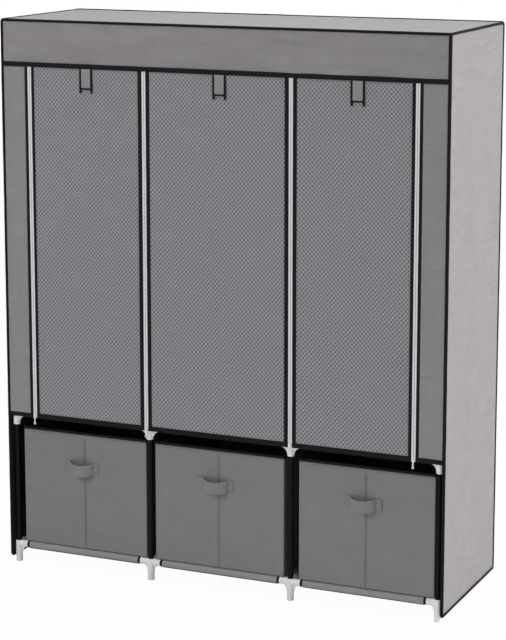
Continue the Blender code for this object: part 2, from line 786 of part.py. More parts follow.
def storage_box(bay):
    """A cloth box with a folded front, a bound rim, a loop handle and a loose board on its floor."""
    name = f"box_{bay_names[bay]}"
    half = box_width / 2
    bottom = base_level + arm_radius + running_gap
    place = mount_point(
        f"{name}_slide", (bay_x[bay] + box_offsets[bay], -wardrobe_depth / 2 + box_inset, bottom)
    )

    bm = bmesh.new()
    add_box(bm, (-half, 0, 0), (half, box_depth, box_height))
    top = [face for face in bm.faces if face.normal.z > 0.5]
    bmesh.ops.delete(bm, geom=top, context="FACES")
    body = finished_mesh(f"{name}_body", bm, "box_cloth")
    wall = body.modifiers.new("wall", "SOLIDIFY")
    wall.thickness = box_wall
    wall.offset = -1.0
    wall.use_even_offset = True
    side = crease_depth * math.sqrt(2)
    knife_mesh = box_mesh((-side / 2, -side / 2, -overrun), (side / 2, side / 2, box_height + overrun))
    knife_mesh.transform(Matrix.Rotation(math.radians(45), 4, "Z"))
    knife = bpy.data.objects.new(f"{name}_crease_cutter", knife_mesh)
    cutters.objects.link(knife)
    knife.hide_render = True
    knife.display_type = "WIRE"
    crease = body.modifiers.new("crease", "BOOLEAN")
    crease.operation = "DIFFERENCE"
    crease.object = knife

    bm = bmesh.new()
    rim_low = box_height + seat_gap
    add_box(
        bm,
        (-half - rim_proud, -rim_proud, rim_low),
        (half + rim_proud, box_depth + rim_proud, rim_low + rim_height),
    )
    ends = [face for face in bm.faces if abs(face.normal.z) > 0.5]
    bmesh.ops.delete(bm, geom=ends, context="FACES")
    rim = finished_mesh(f"{name}_rim", bm, "black_binding")
    wall = rim.modifiers.new("wall", "SOLIDIFY")
    wall.thickness = box_wall + 2 * rim_proud
    wall.offset = -1.0
    wall.use_even_offset = True

    inset = box_wall + board_play
    board_low = (-half + inset, inset, box_wall + seat_gap)
    board_high = (half - inset, box_depth - inset, box_wall + seat_gap + board_thickness)
    board = finished(bpy.data.objects.new(f"{name}_board", box_mesh(board_low, board_high)), "board")

    steps = 8
    near = -seat_gap - handle_cloth / 2
    path = [(handle_offset - handle_span / 2, near)]
    for step in range(steps + 1):
        angle = math.radians(180 * step / steps)
        x = handle_offset - handle_loop / 2 * math.cos(angle)
        path.append((x, near - handle_bulge * math.sin(angle)))
    path.append((handle_offset + handle_span / 2, near))
    bm = bmesh.new()
    low = handle_level - handle_height / 2
    chain = [bm.verts.new((x, y, low - handle_droop * (near - y) / handle_bulge)) for x, y in path]
    edges = [bm.edges.new(pair) for pair in zip(chain, chain[1:])]
    swept = bmesh.ops.extrude_edge_only(bm, edges=edges)["geom"]
    moved = [item for item in swept if isinstance(item, bmesh.types.BMVert)]
    bmesh.ops.translate(bm, verts=moved, vec=(0, 0, handle_height))
    handle = finished_mesh(f"{name}_handle", bm, "box_cloth", smooth=True)
    thickness = handle.modifiers.new("cloth", "SOLIDIFY")
    thickness.thickness = handle_cloth
    thickness.offset = 0.0
    thickness.use_even_offset = True

    carried(place, body, knife, rim, board, handle)


for level_name, level_height in (("base", base_level), ("mid", mid_level), ("top", top_level)):
    for row_number in range(2):
        frame_row(level_name, level_height, row_number)
lower_uprights()
hanging_rails()
shelves("base", base_level)
shelves("mid", mid_level)
cover()
cover_piping()
for bay_number in range(3):
    door(bay_number)
    tie_strap(bay_number)
    storage_box(bay_number)
for zip_number, zip_place in enumerate(zip_x, start=1):
    zip_slider(zip_number, zip_place)
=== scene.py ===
import math

import bmesh
import bpy
from mathutils import Matrix, Vector, noise


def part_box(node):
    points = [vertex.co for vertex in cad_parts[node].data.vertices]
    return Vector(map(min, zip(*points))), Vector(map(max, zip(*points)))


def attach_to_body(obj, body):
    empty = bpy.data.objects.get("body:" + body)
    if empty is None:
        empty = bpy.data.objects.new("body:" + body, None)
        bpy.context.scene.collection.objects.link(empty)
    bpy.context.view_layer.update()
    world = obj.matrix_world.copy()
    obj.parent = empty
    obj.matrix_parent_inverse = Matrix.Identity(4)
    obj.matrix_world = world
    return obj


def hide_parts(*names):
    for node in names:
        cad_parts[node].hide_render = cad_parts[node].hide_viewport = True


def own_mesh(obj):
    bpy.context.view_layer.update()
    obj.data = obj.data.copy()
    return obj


# Fabric wardrobe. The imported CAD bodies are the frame, and each piece below is built where its node is.
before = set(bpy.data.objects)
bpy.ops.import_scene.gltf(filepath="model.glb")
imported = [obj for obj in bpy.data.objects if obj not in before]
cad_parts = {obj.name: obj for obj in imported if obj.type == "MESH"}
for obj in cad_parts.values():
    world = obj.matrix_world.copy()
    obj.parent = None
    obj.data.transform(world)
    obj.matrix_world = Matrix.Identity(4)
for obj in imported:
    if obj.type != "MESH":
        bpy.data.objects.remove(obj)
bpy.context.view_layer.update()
print("frame loaded")


def newObject(name, data):
    made = bpy.data.objects.new(name, data)
    bpy.context.scene.collection.objects.link(made)
    return made


def meshFrom(bm, name="shape"):
    mesh = bpy.data.meshes.new(name)
    bm.to_mesh(mesh)
    bm.free()
    return mesh


# Camera, lights and floor
camera = {"place": (2.2668, -5.138, 1.8903), "turn": 0.4141, "pitch": 0.1745, "lens": 120.5, "shift": -0.12}
cameraData = bpy.data.cameras.new("camera")
cameraData.lens = camera["lens"]
cameraData.shift_y = camera["shift"]
cameraObject = newObject("camera", cameraData)
cameraObject.location = camera["place"]
cameraObject.rotation_euler = (math.pi / 2 - camera["pitch"], 0, camera["turn"])
bpy.context.scene.camera = cameraObject
bpy.context.scene.view_settings.view_transform = "Standard"

# Each lamp: where it stands, its size in metres and its power in watts. All look at the wardrobe's middle.
lamps = {
    "rightLamp": ((8.7, 0.9, 4.7), 3.5, 775),
    "topLamp": ((0.2, -0.6, 5.2), 2.4, 83),
    "frontLamp": ((-2.2, -4.3, 3.4), 2.6, 81),
}
lookAt = Vector((0, 0, 0.75))
for lampName, (place, size, power) in lamps.items():
    lampData = bpy.data.lights.new(lampName, "AREA")
    lampData.shape = "DISK"
    lampData.size = size
    lampData.energy = power
    lamp = newObject(lampName, lampData)
    lamp.location = place
    lamp.rotation_euler = (lookAt - Vector(place)).to_track_quat("-Z", "Y").to_euler()


def linear(value):
    # 0 to 255 as seen, to the value that a shader takes
    share = value / 255
    return share / 12.92 if share <= 0.04045 else ((share + 0.055) / 1.055) ** 2.4


def shade(red, green, blue):
    return (linear(red), linear(green), linear(blue), 1.0)


def feed(tree, socket, value):
    # A value is another node's socket, or a number or colour for the socket itself
    if isinstance(value, bpy.types.NodeSocket):
        tree.links.new(value, socket)
    else:
        socket.default_value = value


def addNode(tree, kind, inputs=(), **settings):
    # Nodes are laid out in rows of eight, in the order in which they are made
    node = tree.nodes.new(kind)
    row, column = divmod(len(tree.nodes) - 1, 8)
    node.location = (220 * column, -320 * row)
    for key, value in settings.items():
        setattr(node, key, value)
    for key, value in dict(inputs).items():
        feed(tree, node.inputs[key], value)
    return node


def calculate(tree, operation, *values):
    return addNode(tree, "ShaderNodeMath", enumerate(values), operation=operation).outputs[0]


def seenDirectly(tree):
    # One for a ray that shows the background: straight from the camera, or off metal and through gaps
    rays = addNode(tree, "ShaderNodeLightPath").outputs
    glossy = calculate(tree, "MAXIMUM", rays["Is Camera Ray"], rays["Is Glossy Ray"])
    return calculate(tree, "MAXIMUM", glossy, rays["Is Transmission Ray"])


worldLook = {"ambient": 0.2, "background": 1.0}
world = bpy.data.worlds.new("studio")
bpy.context.scene.world = world
world.use_nodes = True
worldTree = world.node_tree
worldTree.nodes.clear()
ambient, backdrop = [
    addNode(worldTree, "ShaderNodeBackground", {"Color": (1, 1, 1, 1), "Strength": strength}).outputs[0]
    for strength in worldLook.values()
]
worldMix = addNode(worldTree, "ShaderNodeMixShader", {0: seenDirectly(worldTree), 1: ambient, 2: backdrop})
addNode(worldTree, "ShaderNodeOutputWorld", {"Surface": worldMix.outputs[0]})

floorLook = {"size": 14.0, "colour": 0.82, "roughness": 0.9, "white": 0.97}
bm = bmesh.new()
bmesh.ops.create_grid(bm, x_segments=1, y_segments=1, size=floorLook["size"] / 2)
floor = newObject("floor", meshFrom(bm, "floor"))
floorMaterial = bpy.data.materials.new("paleFloor")
floorMaterial.use_nodes = True
floorTree = floorMaterial.node_tree
floorShader = floorTree.nodes["Principled BSDF"]
floorShader.inputs["Base Color"].default_value = (floorLook["colour"],) * 3 + (1.0,)
floorShader.inputs["Roughness"].default_value = floorLook["roughness"]
floorGlow = addNode(floorTree, "ShaderNodeEmission").outputs[0]
glowShare = calculate(floorTree, "MULTIPLY", seenDirectly(floorTree), floorLook["white"])
floorMix = addNode(floorTree, "ShaderNodeMixShader", {0: glowShare, 1: floorShader.outputs[0], 2: floorGlow})
feed(floorTree, floorTree.nodes["Material Output"].inputs["Surface"], floorMix.outputs[0])
floor.data.materials.append(floorMaterial)
print("camera, lights and floor ready")


# Effects that several materials share, each a node group
def newGroup(name, inputs, outputs=("Colour", "Height", "Roughness")):
    # An input's value tells its kind: None for a vector, a tuple for a colour, else a number
    group = bpy.data.node_groups.new(name, "ShaderNodeTree")
    for label, value in inputs.items():
        kind = "Vector" if value is None else "Color" if isinstance(value, tuple) else "Float"
        socket = group.interface.new_socket(name=label, in_out="INPUT", socket_type=f"NodeSocket{kind}")
        if value is not None:
            socket.default_value = value
    for label in outputs:
        kind = "Color" if label == "Colour" else "Float"
        group.interface.new_socket(name=label, in_out="OUTPUT", socket_type=f"NodeSocket{kind}")
    return group, addNode(group, "NodeGroupInput").outputs, addNode(group, "NodeGroupOutput").inputs


def noiseOf(tree, vector, scale, detail=2.0, roughness=0.5):
    inputs = {"Vector": vector, "Scale": scale, "Detail": detail, "Roughness": roughness}
    return addNode(tree, "ShaderNodeTexNoise", inputs).outputs["Fac"]


def stretchedNoise(tree, vector, factors, detail=2.0, roughness=0.5):
    stretched = addNode(tree, "ShaderNodeVectorMath", {0: vector, 1: factors}, operation="MULTIPLY")
    return noiseOf(tree, stretched.outputs[0], 1.0, detail, roughness)


def brightened(tree, colour, factor):
    return addNode(tree, "ShaderNodeVectorMath", {0: colour, "Scale": factor}, operation="SCALE").outputs[0]


def varied(tree, base, value, amount, middle=0.5):
    # The base plus the amount times how far the value is from its middle
    return calculate(tree, "MULTIPLY_ADD", calculate(tree, "SUBTRACT", value, middle), amount, base)


def ramp(tree, value, low, high, start=0.0, end=1.0, kind="SMOOTHSTEP"):
    inputs = {"Value": value, "From Min": low, "From Max": high, "To Min": start, "To Max": end}
    return addNode(tree, "ShaderNodeMapRange", inputs, interpolation_type=kind).outputs[0]


def makeDotLattice():
    # Staggered round dots: one at each corner and one in the middle of each cell of the given pitch
    inputs = {"Vector": None, "Pitch Across": 0.01, "Pitch Up": 0.01, "Radius": 0.3, "Softness": 0.15}
    group, start, end = newGroup("dotLattice", inputs, ["Mask"])
    split = addNode(group, "ShaderNodeSeparateXYZ", {0: start["Vector"]}).outputs
    across = calculate(group, "DIVIDE", split[0], start["Pitch Across"])
    up = calculate(group, "DIVIDE", split[1], start["Pitch Up"])
    distances = []
    for shift in (0.0, 0.5):
        squares = []
        for value in (across, up):
            wrapped = calculate(group, "FRACT", calculate(group, "ADD", value, shift))
            centred = calculate(group, "SUBTRACT", wrapped, 0.5)
            squares.append(calculate(group, "MULTIPLY", centred, centred))
        distances.append(calculate(group, "SQRT", calculate(group, "ADD", *squares)))
    nearest = calculate(group, "MINIMUM", *distances)
    outer = calculate(group, "ADD", start["Radius"], start["Softness"])
    feed(group, end["Mask"], ramp(group, nearest, start["Radius"], outer, 1.0, 0.0))
    return group


def makeSpunCloth(dotLattice):
    # Pressed fibre cloth: cloudy tone, faint streaks, loose fibres and a fine grid of bonded points, with
    # painted light and shade of cloth wrinkling in patches
    inputs = {"Vector": None, "Colour": (0.3, 0.3, 0.3, 1), "Clouds": 0.1, "Streaks": 0.06, "Fibres": 0.2}
    group, start, end = newGroup("spunCloth", {**inputs, "Bonds": 0.1, "Specks": 0.1, "Painted Wrinkle Shade": 0.1})
    vector = start["Vector"]
    fibres = noiseOf(group, vector, 620.0, 4.0, 0.75)
    tones = {
        "Clouds": stretchedNoise(group, vector, (9, 15, 1), 6.0, 0.72),
        "Streaks": stretchedNoise(group, vector, (70, 9, 1)),
        "Fibres": fibres,
        "Specks": noiseOf(group, vector, 230.0, 2.0, 0.6),
    }
    factor = 1.0
    for label, tone in tones.items():
        factor = varied(group, factor, tone, start[label])
    # Painted light and shade of cloth wrinkling: bands along the width, only in patches
    patches = ramp(group, noiseOf(group, vector, 6.0, 1.0), 0.42, 0.62)
    wrinkleShade = calculate(group, "MULTIPLY", patches, start["Painted Wrinkle Shade"])
    factor = varied(group, factor, stretchedNoise(group, vector, (11, 75, 1)), wrinkleShade)
    lattice = {"Vector": vector, "Pitch Across": 0.0021, "Pitch Up": 0.0024, "Radius": 0.12, "Softness": 0.14}
    bonds = addNode(group, "ShaderNodeGroup", lattice.items(), node_tree=dotLattice).outputs[0]
    factor = calculate(group, "SUBTRACT", factor, calculate(group, "MULTIPLY", bonds, start["Bonds"]))
    feed(group, end["Colour"], brightened(group, start["Colour"], factor))
    low = calculate(group, "MULTIPLY", bonds, -0.7)
    feed(group, end["Height"], calculate(group, "MULTIPLY_ADD", fibres, 0.6, low))
    feed(group, end["Roughness"], calculate(group, "MULTIPLY_ADD", fibres, 0.16, 0.8))
    return group


def makeRibbedTape():
    # Woven tape: ribs across its length, and a tone that changes in patches
    inputs = {"Vector": None, "Colour": (0.02, 0.02, 0.02, 1), "Rib Pitch": 0.0011, "Variation": 0.5}
    group, start, end = newGroup("ribbedTape", inputs)
    along = addNode(group, "ShaderNodeSeparateXYZ", {0: start["Vector"]}).outputs[0]
    turns = calculate(group, "DIVIDE", along, start["Rib Pitch"])
    ribs = calculate(group, "SINE", calculate(group, "MULTIPLY", turns, 2 * math.pi))
    threads = noiseOf(group, start["Vector"], 900.0, 2.0, 0.6)
    patches = noiseOf(group, start["Vector"], 30.0)
    factor = varied(group, 1.0, calculate(group, "ADD", threads, patches), start["Variation"], 1.0)
    feed(group, end["Colour"], brightened(group, start["Colour"], factor))
    feed(group, end["Height"], calculate(group, "MULTIPLY_ADD", ribs, 0.35, threads))
    feed(group, end["Roughness"], calculate(group, "MULTIPLY_ADD", patches, 0.2, 0.66))
    return group


def makeFineGrain():
    # Grain of moulded plastic, paint or metal: tone, height and gloss vary a little
    inputs = {"Vector": None, "Colour": (0.5, 0.5, 0.5, 1), "Grain Scale": 900.0, "Tone": 0.05}
    group, start, end = newGroup("fineGrain", {**inputs, "Roughness": 0.4, "Gloss Change": 0.12})
    smudge = noiseOf(group, start["Vector"], 24.0, 3.0, 0.6)
    factor = varied(group, 1.0, smudge, start["Tone"])
    feed(group, end["Colour"], brightened(group, start["Colour"], factor))
    feed(group, end["Height"], noiseOf(group, start["Vector"], start["Grain Scale"], 3.0, 0.6))
    feed(group, end["Roughness"], varied(group, start["Roughness"], smudge, start["Gloss Change"]))
    return group


def makeEdgeWear():
    # Lighter rubbed edges, from how sharply the surface turns
    inputs = {"Colour": (0.5, 0.5, 0.5, 1), "Worn Colour": (0.7, 0.7, 0.7, 1), "Amount": 0.5}
    group, start, end = newGroup("edgeWear", inputs, ["Colour"])
    surface = addNode(group, "ShaderNodeNewGeometry").outputs["Pointiness"]
    amount = calculate(group, "MULTIPLY", ramp(group, surface, 0.52, 0.66, kind="LINEAR"), start["Amount"])
    colours = {"Factor": amount, "A": start["Colour"], "B": start["Worn Colour"]}
    mix = addNode(group, "ShaderNodeMix", colours, data_type="RGBA")
    feed(group, end["Colour"], mix.outputs["Result"])
    return group


dotLattice = makeDotLattice()
spunCloth, ribbedTape = makeSpunCloth(dotLattice), makeRibbedTape()
fineGrain, edgeWear = makeFineGrain(), makeEdgeWear()


def newMaterial(name, group, coordinates, bump, depth, gloss, values):
    # A material whose colour, height and roughness come from a group. Gives its tree and sockets too.
    material = bpy.data.materials.new(name)
    material.use_nodes = True
    tree = material.node_tree
    shader = tree.nodes["Principled BSDF"].inputs
    where = addNode(tree, "ShaderNodeTexCoord").outputs[coordinates]
    effect = addNode(tree, "ShaderNodeGroup", {"Vector": where, **values}, node_tree=group).outputs
    bumped = {"Strength": bump, "Distance": depth, "Height": effect["Height"]}
    raised = addNode(tree, "ShaderNodeBump", bumped)
    feed(tree, shader["Base Color"], effect["Colour"])
    feed(tree, shader["Roughness"], effect["Roughness"])
    feed(tree, shader["Normal"], raised.outputs[0])
    shader["Specular IOR Level"].default_value = gloss
    return material, tree, shader, effect, raised.inputs


# Colours as seen, 0 to 255, then how much of each effect the cloth shows
clothEffects = ("Clouds", "Streaks", "Fibres", "Bonds", "Painted Wrinkle Shade", "Specks")
clothLooks = {
    "coverCloth": ((152, 148, 152), 0.28, 0.08, 0.34, 0.16, 0.3, 0.26),
    # Near-black cloth that paints the shade inside the cover and on the middle shelves
    "paintedShadeCloth": ((34, 32, 36), 0.15, 0.08, 0.30, 0.14, 0.1, 0.26),
    "boxCloth": ((140, 137, 140), 0.28, 0.10, 0.22, 0.12, 0.1, 0.26),
    "shelfCloth": ((158, 156, 160), 0.10, 0.05, 0.24, 0.14, 0.1, 0.26),
    "doorCloth": ((163, 160, 165), 0.22, 0.05, 0.22, 0.08, 0.1, 0.26),
}
clothSurface = {"bump": 0.35, "depth": 0.0004, "gloss": 0.2, "sheen": 0.12, "sheenRoughness": 0.5}
doorDots = {"Pitch Across": 0.011, "Pitch Up": 0.012, "Radius": 0.15, "Softness": 0.17}
doorPress = {"shade": 0.56, "depth": 1.6, "warp": 0.0045, "warpScale": 14.0}
paintedShadeStrength = 0.45  # how much painted shade darkens the boxes along the front crease, the bottom edge and the sides


def clothMaterial(name):
    colour, *amounts = clothLooks[name]
    values = {"Colour": shade(*colour), **dict(zip(clothEffects, amounts))}
    surface = [clothSurface[key] for key in ("bump", "depth", "gloss")]
    made = newMaterial(name, spunCloth, "UV", *surface, values)
    made[2]["Sheen Weight"].default_value = clothSurface["sheen"]
    made[2]["Sheen Roughness"].default_value = clothSurface["sheenRoughness"]
    return made


def darken(made, mask, amount):
    # Makes a cloth darker by the amount where the mask is one
    material, tree, shader, effect, raised = made
    factor = calculate(tree, "MULTIPLY_ADD", mask, -amount, 1.0)
    feed(tree, shader["Base Color"], brightened(tree, effect["Colour"], factor))


def doorMaterial():
    # The doors' cloth is pressed with staggered dots, which are darker and lower
    made = clothMaterial("doorCloth")
    material, tree, shader, effect, raised = made
    where = tree.nodes["Texture Coordinate"].outputs["UV"]
    wander = addNode(tree, "ShaderNodeTexNoise", {"Vector": where, "Scale": doorPress["warpScale"]})
    inputs = {0: wander.outputs["Color"], 1: (doorPress["warp"],) * 3, 2: where}
    warped = addNode(tree, "ShaderNodeVectorMath", inputs, operation="MULTIPLY_ADD").outputs[0]
    dots = addNode(tree, "ShaderNodeGroup", {"Vector": warped, **doorDots}, node_tree=dotLattice).outputs[0]
    darken(made, dots, doorPress["shade"])
    feed(tree, raised["Height"], calculate(tree, "MULTIPLY_ADD", dots, -doorPress["depth"], effect["Height"]))
    return material


coverCloth, paintedShadeCloth, shelfCloth = [
    clothMaterial(name)[0] for name in ("coverCloth", "paintedShadeCloth", "shelfCloth")
]
boxMade = clothMaterial("boxCloth")
boxCloth = boxMade[0]
# Painted shade on the boxes, from a vertex attribute: the front crease, the bottom edge and the sides
darken(boxMade, addNode(boxMade[1], "ShaderNodeAttribute", attribute_name="paintedShade").outputs["Fac"], paintedShadeStrength)
doorCloth = doorMaterial()

# Each tape: its coordinates, bump, bump depth, gloss, colour, rib pitch and variation
tapeLooks = {
    "blackBinding": ("UV", 0.5, 0.0003, 0.15, (19, 17, 21), 0.0012, 0.5),
    "pipingCloth": ("Object", 0.4, 0.0002, 0.15, (12, 11, 13), 0.002, 0.5),
    "zipTape": ("UV", 0.35, 0.0002, 0.3, (236, 235, 238), 0.0008, 0.08),
}


def tapeMaterial(name):
    *surface, colour, pitch, variation = tapeLooks[name]
    values = {"Colour": shade(*colour), "Rib Pitch": pitch, "Variation": variation}
    return newMaterial(name, ribbedTape, *surface, values)[0]


# Each hard finish: its colour, roughness, grain scale, tone, bump, metallic, gloss, worn colour and wear
hardLooks = {
    "whitePlastic": ((245, 244, 247), 0.42, 700.0, 0.05, 0.12, 0.0, 0.5, (250, 250, 251), 0.5),
    "blackTube": ((10, 9, 11), 0.36, 500.0, 0.3, 0.12, 0.0, 0.1, None, 0.0),
    "zipMetal": ((208, 208, 212), 0.28, 900.0, 0.1, 0.1, 0.9, 0.5, (235, 235, 238), 0.6),
    "zipTeeth": ((228, 227, 231), 0.45, 900.0, 0.08, 0.1, 0.0, 0.5, None, 0.0),
    "boardPaper": ((108, 104, 99), 0.9, 400.0, 0.2, 0.3, 0.0, 0.5, (140, 134, 126), 0.5),
}


def hardMaterial(name):
    colour, roughness, grain, tone, bump, metallic, gloss, worn, wear = hardLooks[name]
    values = {"Colour": shade(*colour), "Grain Scale": grain, "Tone": tone, "Roughness": roughness}
    values["Gloss Change"] = 0.14
    made = newMaterial(name, fineGrain, "Object", bump, 0.0002, gloss, values)
    material, tree, shader, effect, raised = made
    shader["Metallic"].default_value = metallic
    if worn:
        inputs = {"Colour": effect["Colour"], "Worn Colour": shade(*worn), "Amount": wear}
        rubbed = addNode(tree, "ShaderNodeGroup", inputs, node_tree=edgeWear)
        feed(tree, shader["Base Color"], rubbed.outputs["Colour"])
    return material


blackBinding, pipingCloth, zipTape = [tapeMaterial(name) for name in tapeLooks]
whitePlastic, blackTube, zipMetal, zipTeeth, boardPaper = [hardMaterial(name) for name in hardLooks]
print("materials ready")


# Helpers that build meshes
def placePiece(name, mesh, materials, sharpAngle=35):
    for material in materials:
        mesh.materials.append(material)
    mesh.shade_smooth()
    mesh.set_sharp_from_angle(angle=math.radians(sharpAngle))
    mesh.name = name
    return newObject(name, mesh)


def withModifiers(piece):
    # Fixes a piece's modifiers into its mesh
    bpy.context.view_layer.update()
    mesh = bpy.data.meshes.new_from_object(piece.evaluated_get(bpy.context.evaluated_depsgraph_get()))
    piece.modifiers.clear()
    piece.data = mesh
    return piece


def thicken(piece, thickness, offset, lining=False):
    # Gives a sheet its thickness, inwards at an offset of -1 and to both sides at 0
    wall = piece.modifiers.new("wall", "SOLIDIFY")
    wall.thickness = thickness
    wall.offset = offset
    wall.use_even_offset = True
    if lining:
        wall.material_offset = wall.material_offset_rim = 1
    return withModifiers(piece)


def mapFaces(faces, layer, placeOf):
    for face in faces:
        for loop in face.loops:
            loop[layer].uv = placeOf(loop.vert.co)


def bevelEdges(bm, edges, offset, segments):
    bmesh.ops.bevel(
        bm,
        geom=edges,
        offset=offset,
        segments=segments,
        affect="EDGES",
        profile=0.5,
        material=-1,
        clamp_overlap=True,
    )


def addBlock(bm, low, high):
    scale = Matrix.Diagonal((high - low).to_4d())
    return bmesh.ops.create_cube(bm, size=1.0, matrix=Matrix.Translation((low + high) / 2) @ scale)["verts"]


def attach(piece, slotName, *nodes, body="frame_and_cover"):
    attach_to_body(piece, body)
    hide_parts(*nodes)
    return piece


def smoothStep(value):
    value = min(1.0, max(0.0, value))
    return value * value * (3 - 2 * value)


def ripple(u, v, seed, waves):
    # Each wave: its length across and up, and its height
    return sum(tall * noise.noise(Vector((u / long, v / high, seed))) for long, high, tall in waves)


def pucker(u, v, width, height, seed, edges, tall, reach=0.014, pitch=0.016):
    # Small gathers that run in from sewn edges and die out
    total = 0.0
    sides = (("low", u, v), ("high", u, height - v), ("left", v, u), ("right", v, width - u))
    for number, (edge, along, away) in enumerate(sides):
        if edge in edges and away < 5 * reach:
            start = smoothStep(away / 0.006)
            wave = noise.noise(Vector((along / pitch, 0.3, seed + number)))
            total += tall * start * math.exp(-away / reach) * wave
    return total


def clothSheet(name, corner, across, up, step, shape, thickness, *materials):
    # A grid of cloth whose outer face passes through corner, moved outwards by shape(u, v) in metres. A
    # second material is its lining.
    corner, across, up = Vector(corner), Vector(across), Vector(up)
    width, height = across.length, up.length
    outward = across.cross(up).normalized()
    cells = [max(2, round(length / step)) for length in (width, height)]
    bm = bmesh.new()
    bmesh.ops.create_grid(bm, x_segments=cells[0], y_segments=cells[1], size=0.5)
    layer = bm.loops.layers.uv.new("UVMap")
    mapFaces(bm.faces, layer, lambda place: ((place.x + 0.5) * width, (place.y + 0.5) * height))
    for vert in bm.verts:
        u, v = vert.co.x + 0.5, vert.co.y + 0.5
        vert.co = corner + across * u + up * v + outward * shape(u * width, v * height, width, height)
    return thicken(placePiece(name, meshFrom(bm), materials, 180), thickness, -1.0, len(materials) > 1)


def addBar(bm, low, high, along, edge=0.0005, segments=2, cut=0.02, wave=0.0, seed=0.0, material=0):
    # A strip of tape or binding with rounded long edges, its UV running along it
    low, high = Vector(low), Vector(high)
    before = set(bm.faces)
    edges = {item for vert in addBlock(bm, low, high) for item in vert.link_edges}
    long = [item for item in edges if abs(item.verts[0].co[along] - item.verts[1].co[along]) > 1e-6]
    bevelEdges(bm, long, edge, segments)
    count = max(1, round((high[along] - low[along]) / cut))
    for number in range(1, count):
        faces = [face for face in bm.faces if face not in before]
        items = {item for face in faces for item in (*face.verts, *face.edges, face)}
        place = Vector(low)
        place[along] = low[along] + (high[along] - low[along]) * number / count
        normal = Matrix.Identity(3)[along]
        bmesh.ops.bisect_plane(bm, geom=list(items), dist=1e-7, plane_co=place, plane_no=normal)
    faces = [face for face in bm.faces if face not in before]
    thin = min((axis for axis in range(3) if axis != along), key=lambda axis: high[axis] - low[axis])
    wide = 3 - along - thin
    mapFaces(faces, bm.loops.layers.uv.verify(), lambda place: (place[along], place[wide] + place[thin]))
    for face in faces:
        face.material_index = material
    if wave:
        for vert in {vert for face in faces for vert in face.verts}:
            place = vert.co[along] / 0.03
            vert.co[wide] += wave * noise.noise(Vector((place, 0.7, seed)))
            vert.co[thin] += wave * noise.noise(Vector((place, 4.7, seed)))


# Cover: top, sides, back, valance, strips and piping
cover = {
    "cloth": 0.0012,
    "panelStep": 0.008,
    "backStep": 0.0105,
    "frontStep": 0.005,
    "topSag": 0.0042,
    "backWave": 0.7,
    "lap": 0.0004,
    "stripEdge": 0.6197,
    "stripHem": 0.4152,
    "stripHemHeight": 0.0125,
}
binding = {"front": -0.2141, "back": -0.2119, "edge": 0.0008, "cut": 0.015, "wave": 0.0003, "proud": 0.0001}
valanceHem = {"front": -0.2151, "back": -0.2117, "height": 0.0124, "edge": 0.0011, "wave": 0.0004}
bays = ("left", "middle", "right")
outerUpright = 0.608
uprights = [-outerUpright, -outerUpright / 3, outerUpright / 3, outerUpright]
uprightDepth = 0.1988
levels = {"base": 0.0505, "mid": 0.421, "top": 1.4807}
zips = [-0.542, -0.206, 0.206, 0.542]
clothFace = -0.2135
frontTop = 1.3682  # where the doors and strips end under the valance


def edgeFade(u, v, width, height, reach=0.03):
    return smoothStep(min(u, width - u, v, height - v) / reach)


def sewnShape(seeds, waves, sunk, fade, strength, *gathers):
    # Waves that die out towards the edges, and gathers that run in from the seams
    def shape(u, v, width, height):
        moved = (ripple(u, v, seeds[0], waves) - sunk) * edgeFade(u, v, width, height, fade)
        return (moved + pucker(u, v, width, height, seeds[1], *gathers)) * strength

    return shape


def hangingShape(seed, strength=1.0):
    waves = ((0.17, 0.55, 0.0042), (0.07, 0.21, 0.0016), (0.03, 0.05, 0.0004))
    return sewnShape((seed, seed), waves, 0.0012, 0.05, strength, ("low", "high", "left", "right"), 0.0011)


def topShape(u, v, width, height):
    # The cloth sags a little between the four side rails
    x = u - width / 2
    bay = (x - uprights[0]) / (uprights[1] - uprights[0])
    sag = math.sin(math.pi * (bay % 1.0)) ** 2 * smoothStep(min(v, height - v) / 0.14)
    waves = ripple(u, v, 21.0, ((0.21, 0.09, 0.0016), (0.06, 0.05, 0.0006)))
    seams = pucker(u, v, width, height, 22.0, ("low", "high", "left", "right"), 0.0009)
    lift = edgeFade(u, v, width, height, 0.05)
    return -cover["topSag"] * sag + (waves + 0.0004) * lift * (0.35 + 0.65 * sag) + max(0.0, seams)


def stripShape(seed):
    waves = ((0.05, 0.16, 0.0016), (0.03, 0.06, 0.0006))
    return sewnShape((seed, seed), waves, 0.0, 0.015, 1.0, ("low", "left", "right"), 0.0010, 0.012)


valanceWaves = ((0.17, 0.05, 0.0058), (0.06, 0.022, 0.0018))
valanceShape = sewnShape((31.0, 32.0), valanceWaves, 0.0, 0.02, 1.0, ("low", "high"), 0.0016, 0.014, 0.021)


def coverPanel(node, corner, across, up, step, shape):
    # A sewn panel of the cover, grey outside; its inside is a near-black cloth that is painted shade
    cloths = coverCloth, paintedShadeCloth
    panel = clothSheet(f"{node}_cloth", corner, across, up, cover[step], shape, cover["cloth"], *cloths)
    return attach(panel, "grey_cloth", node)


def trimPiece(name, bm, node, materials=(blackBinding,), slotName="black_binding", sharpAngle=35):
    return attach(placePiece(name, meshFrom(bm), materials, sharpAngle), slotName, node)


def addBinding(bm, near, far, low, high, along, seed, proud=0.0):
    # A binding from near to far across the front, and from low to high up it
    corners = (near, binding["front"] - proud, low), (far, binding["back"] + proud, high)
    addBar(bm, *corners, along, binding["edge"], 2, binding["cut"], binding["wave"], seed)


low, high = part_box("cover_top")
width, depth = high[0] - low[0], high[1] - low[1]
corner = (low[0], low[1], high[2])
coverTop = coverPanel("cover_top", corner, (width, 0, 0), (0, depth, 0), "panelStep", topShape)

for side, name in ((-1, "left"), (1, "right")):
    node = f"cover_{name}_side"
    low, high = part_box(node)
    across, up = (0, side * (high[1] - low[1]), 0), (0, 0, high[2] - low[2])
    corner = (side * max(abs(low[0]), abs(high[0])), low[1] if side > 0 else high[1], low[2])
    panel = coverPanel(node, corner, across, up, "panelStep", hangingShape(7.0 + side))

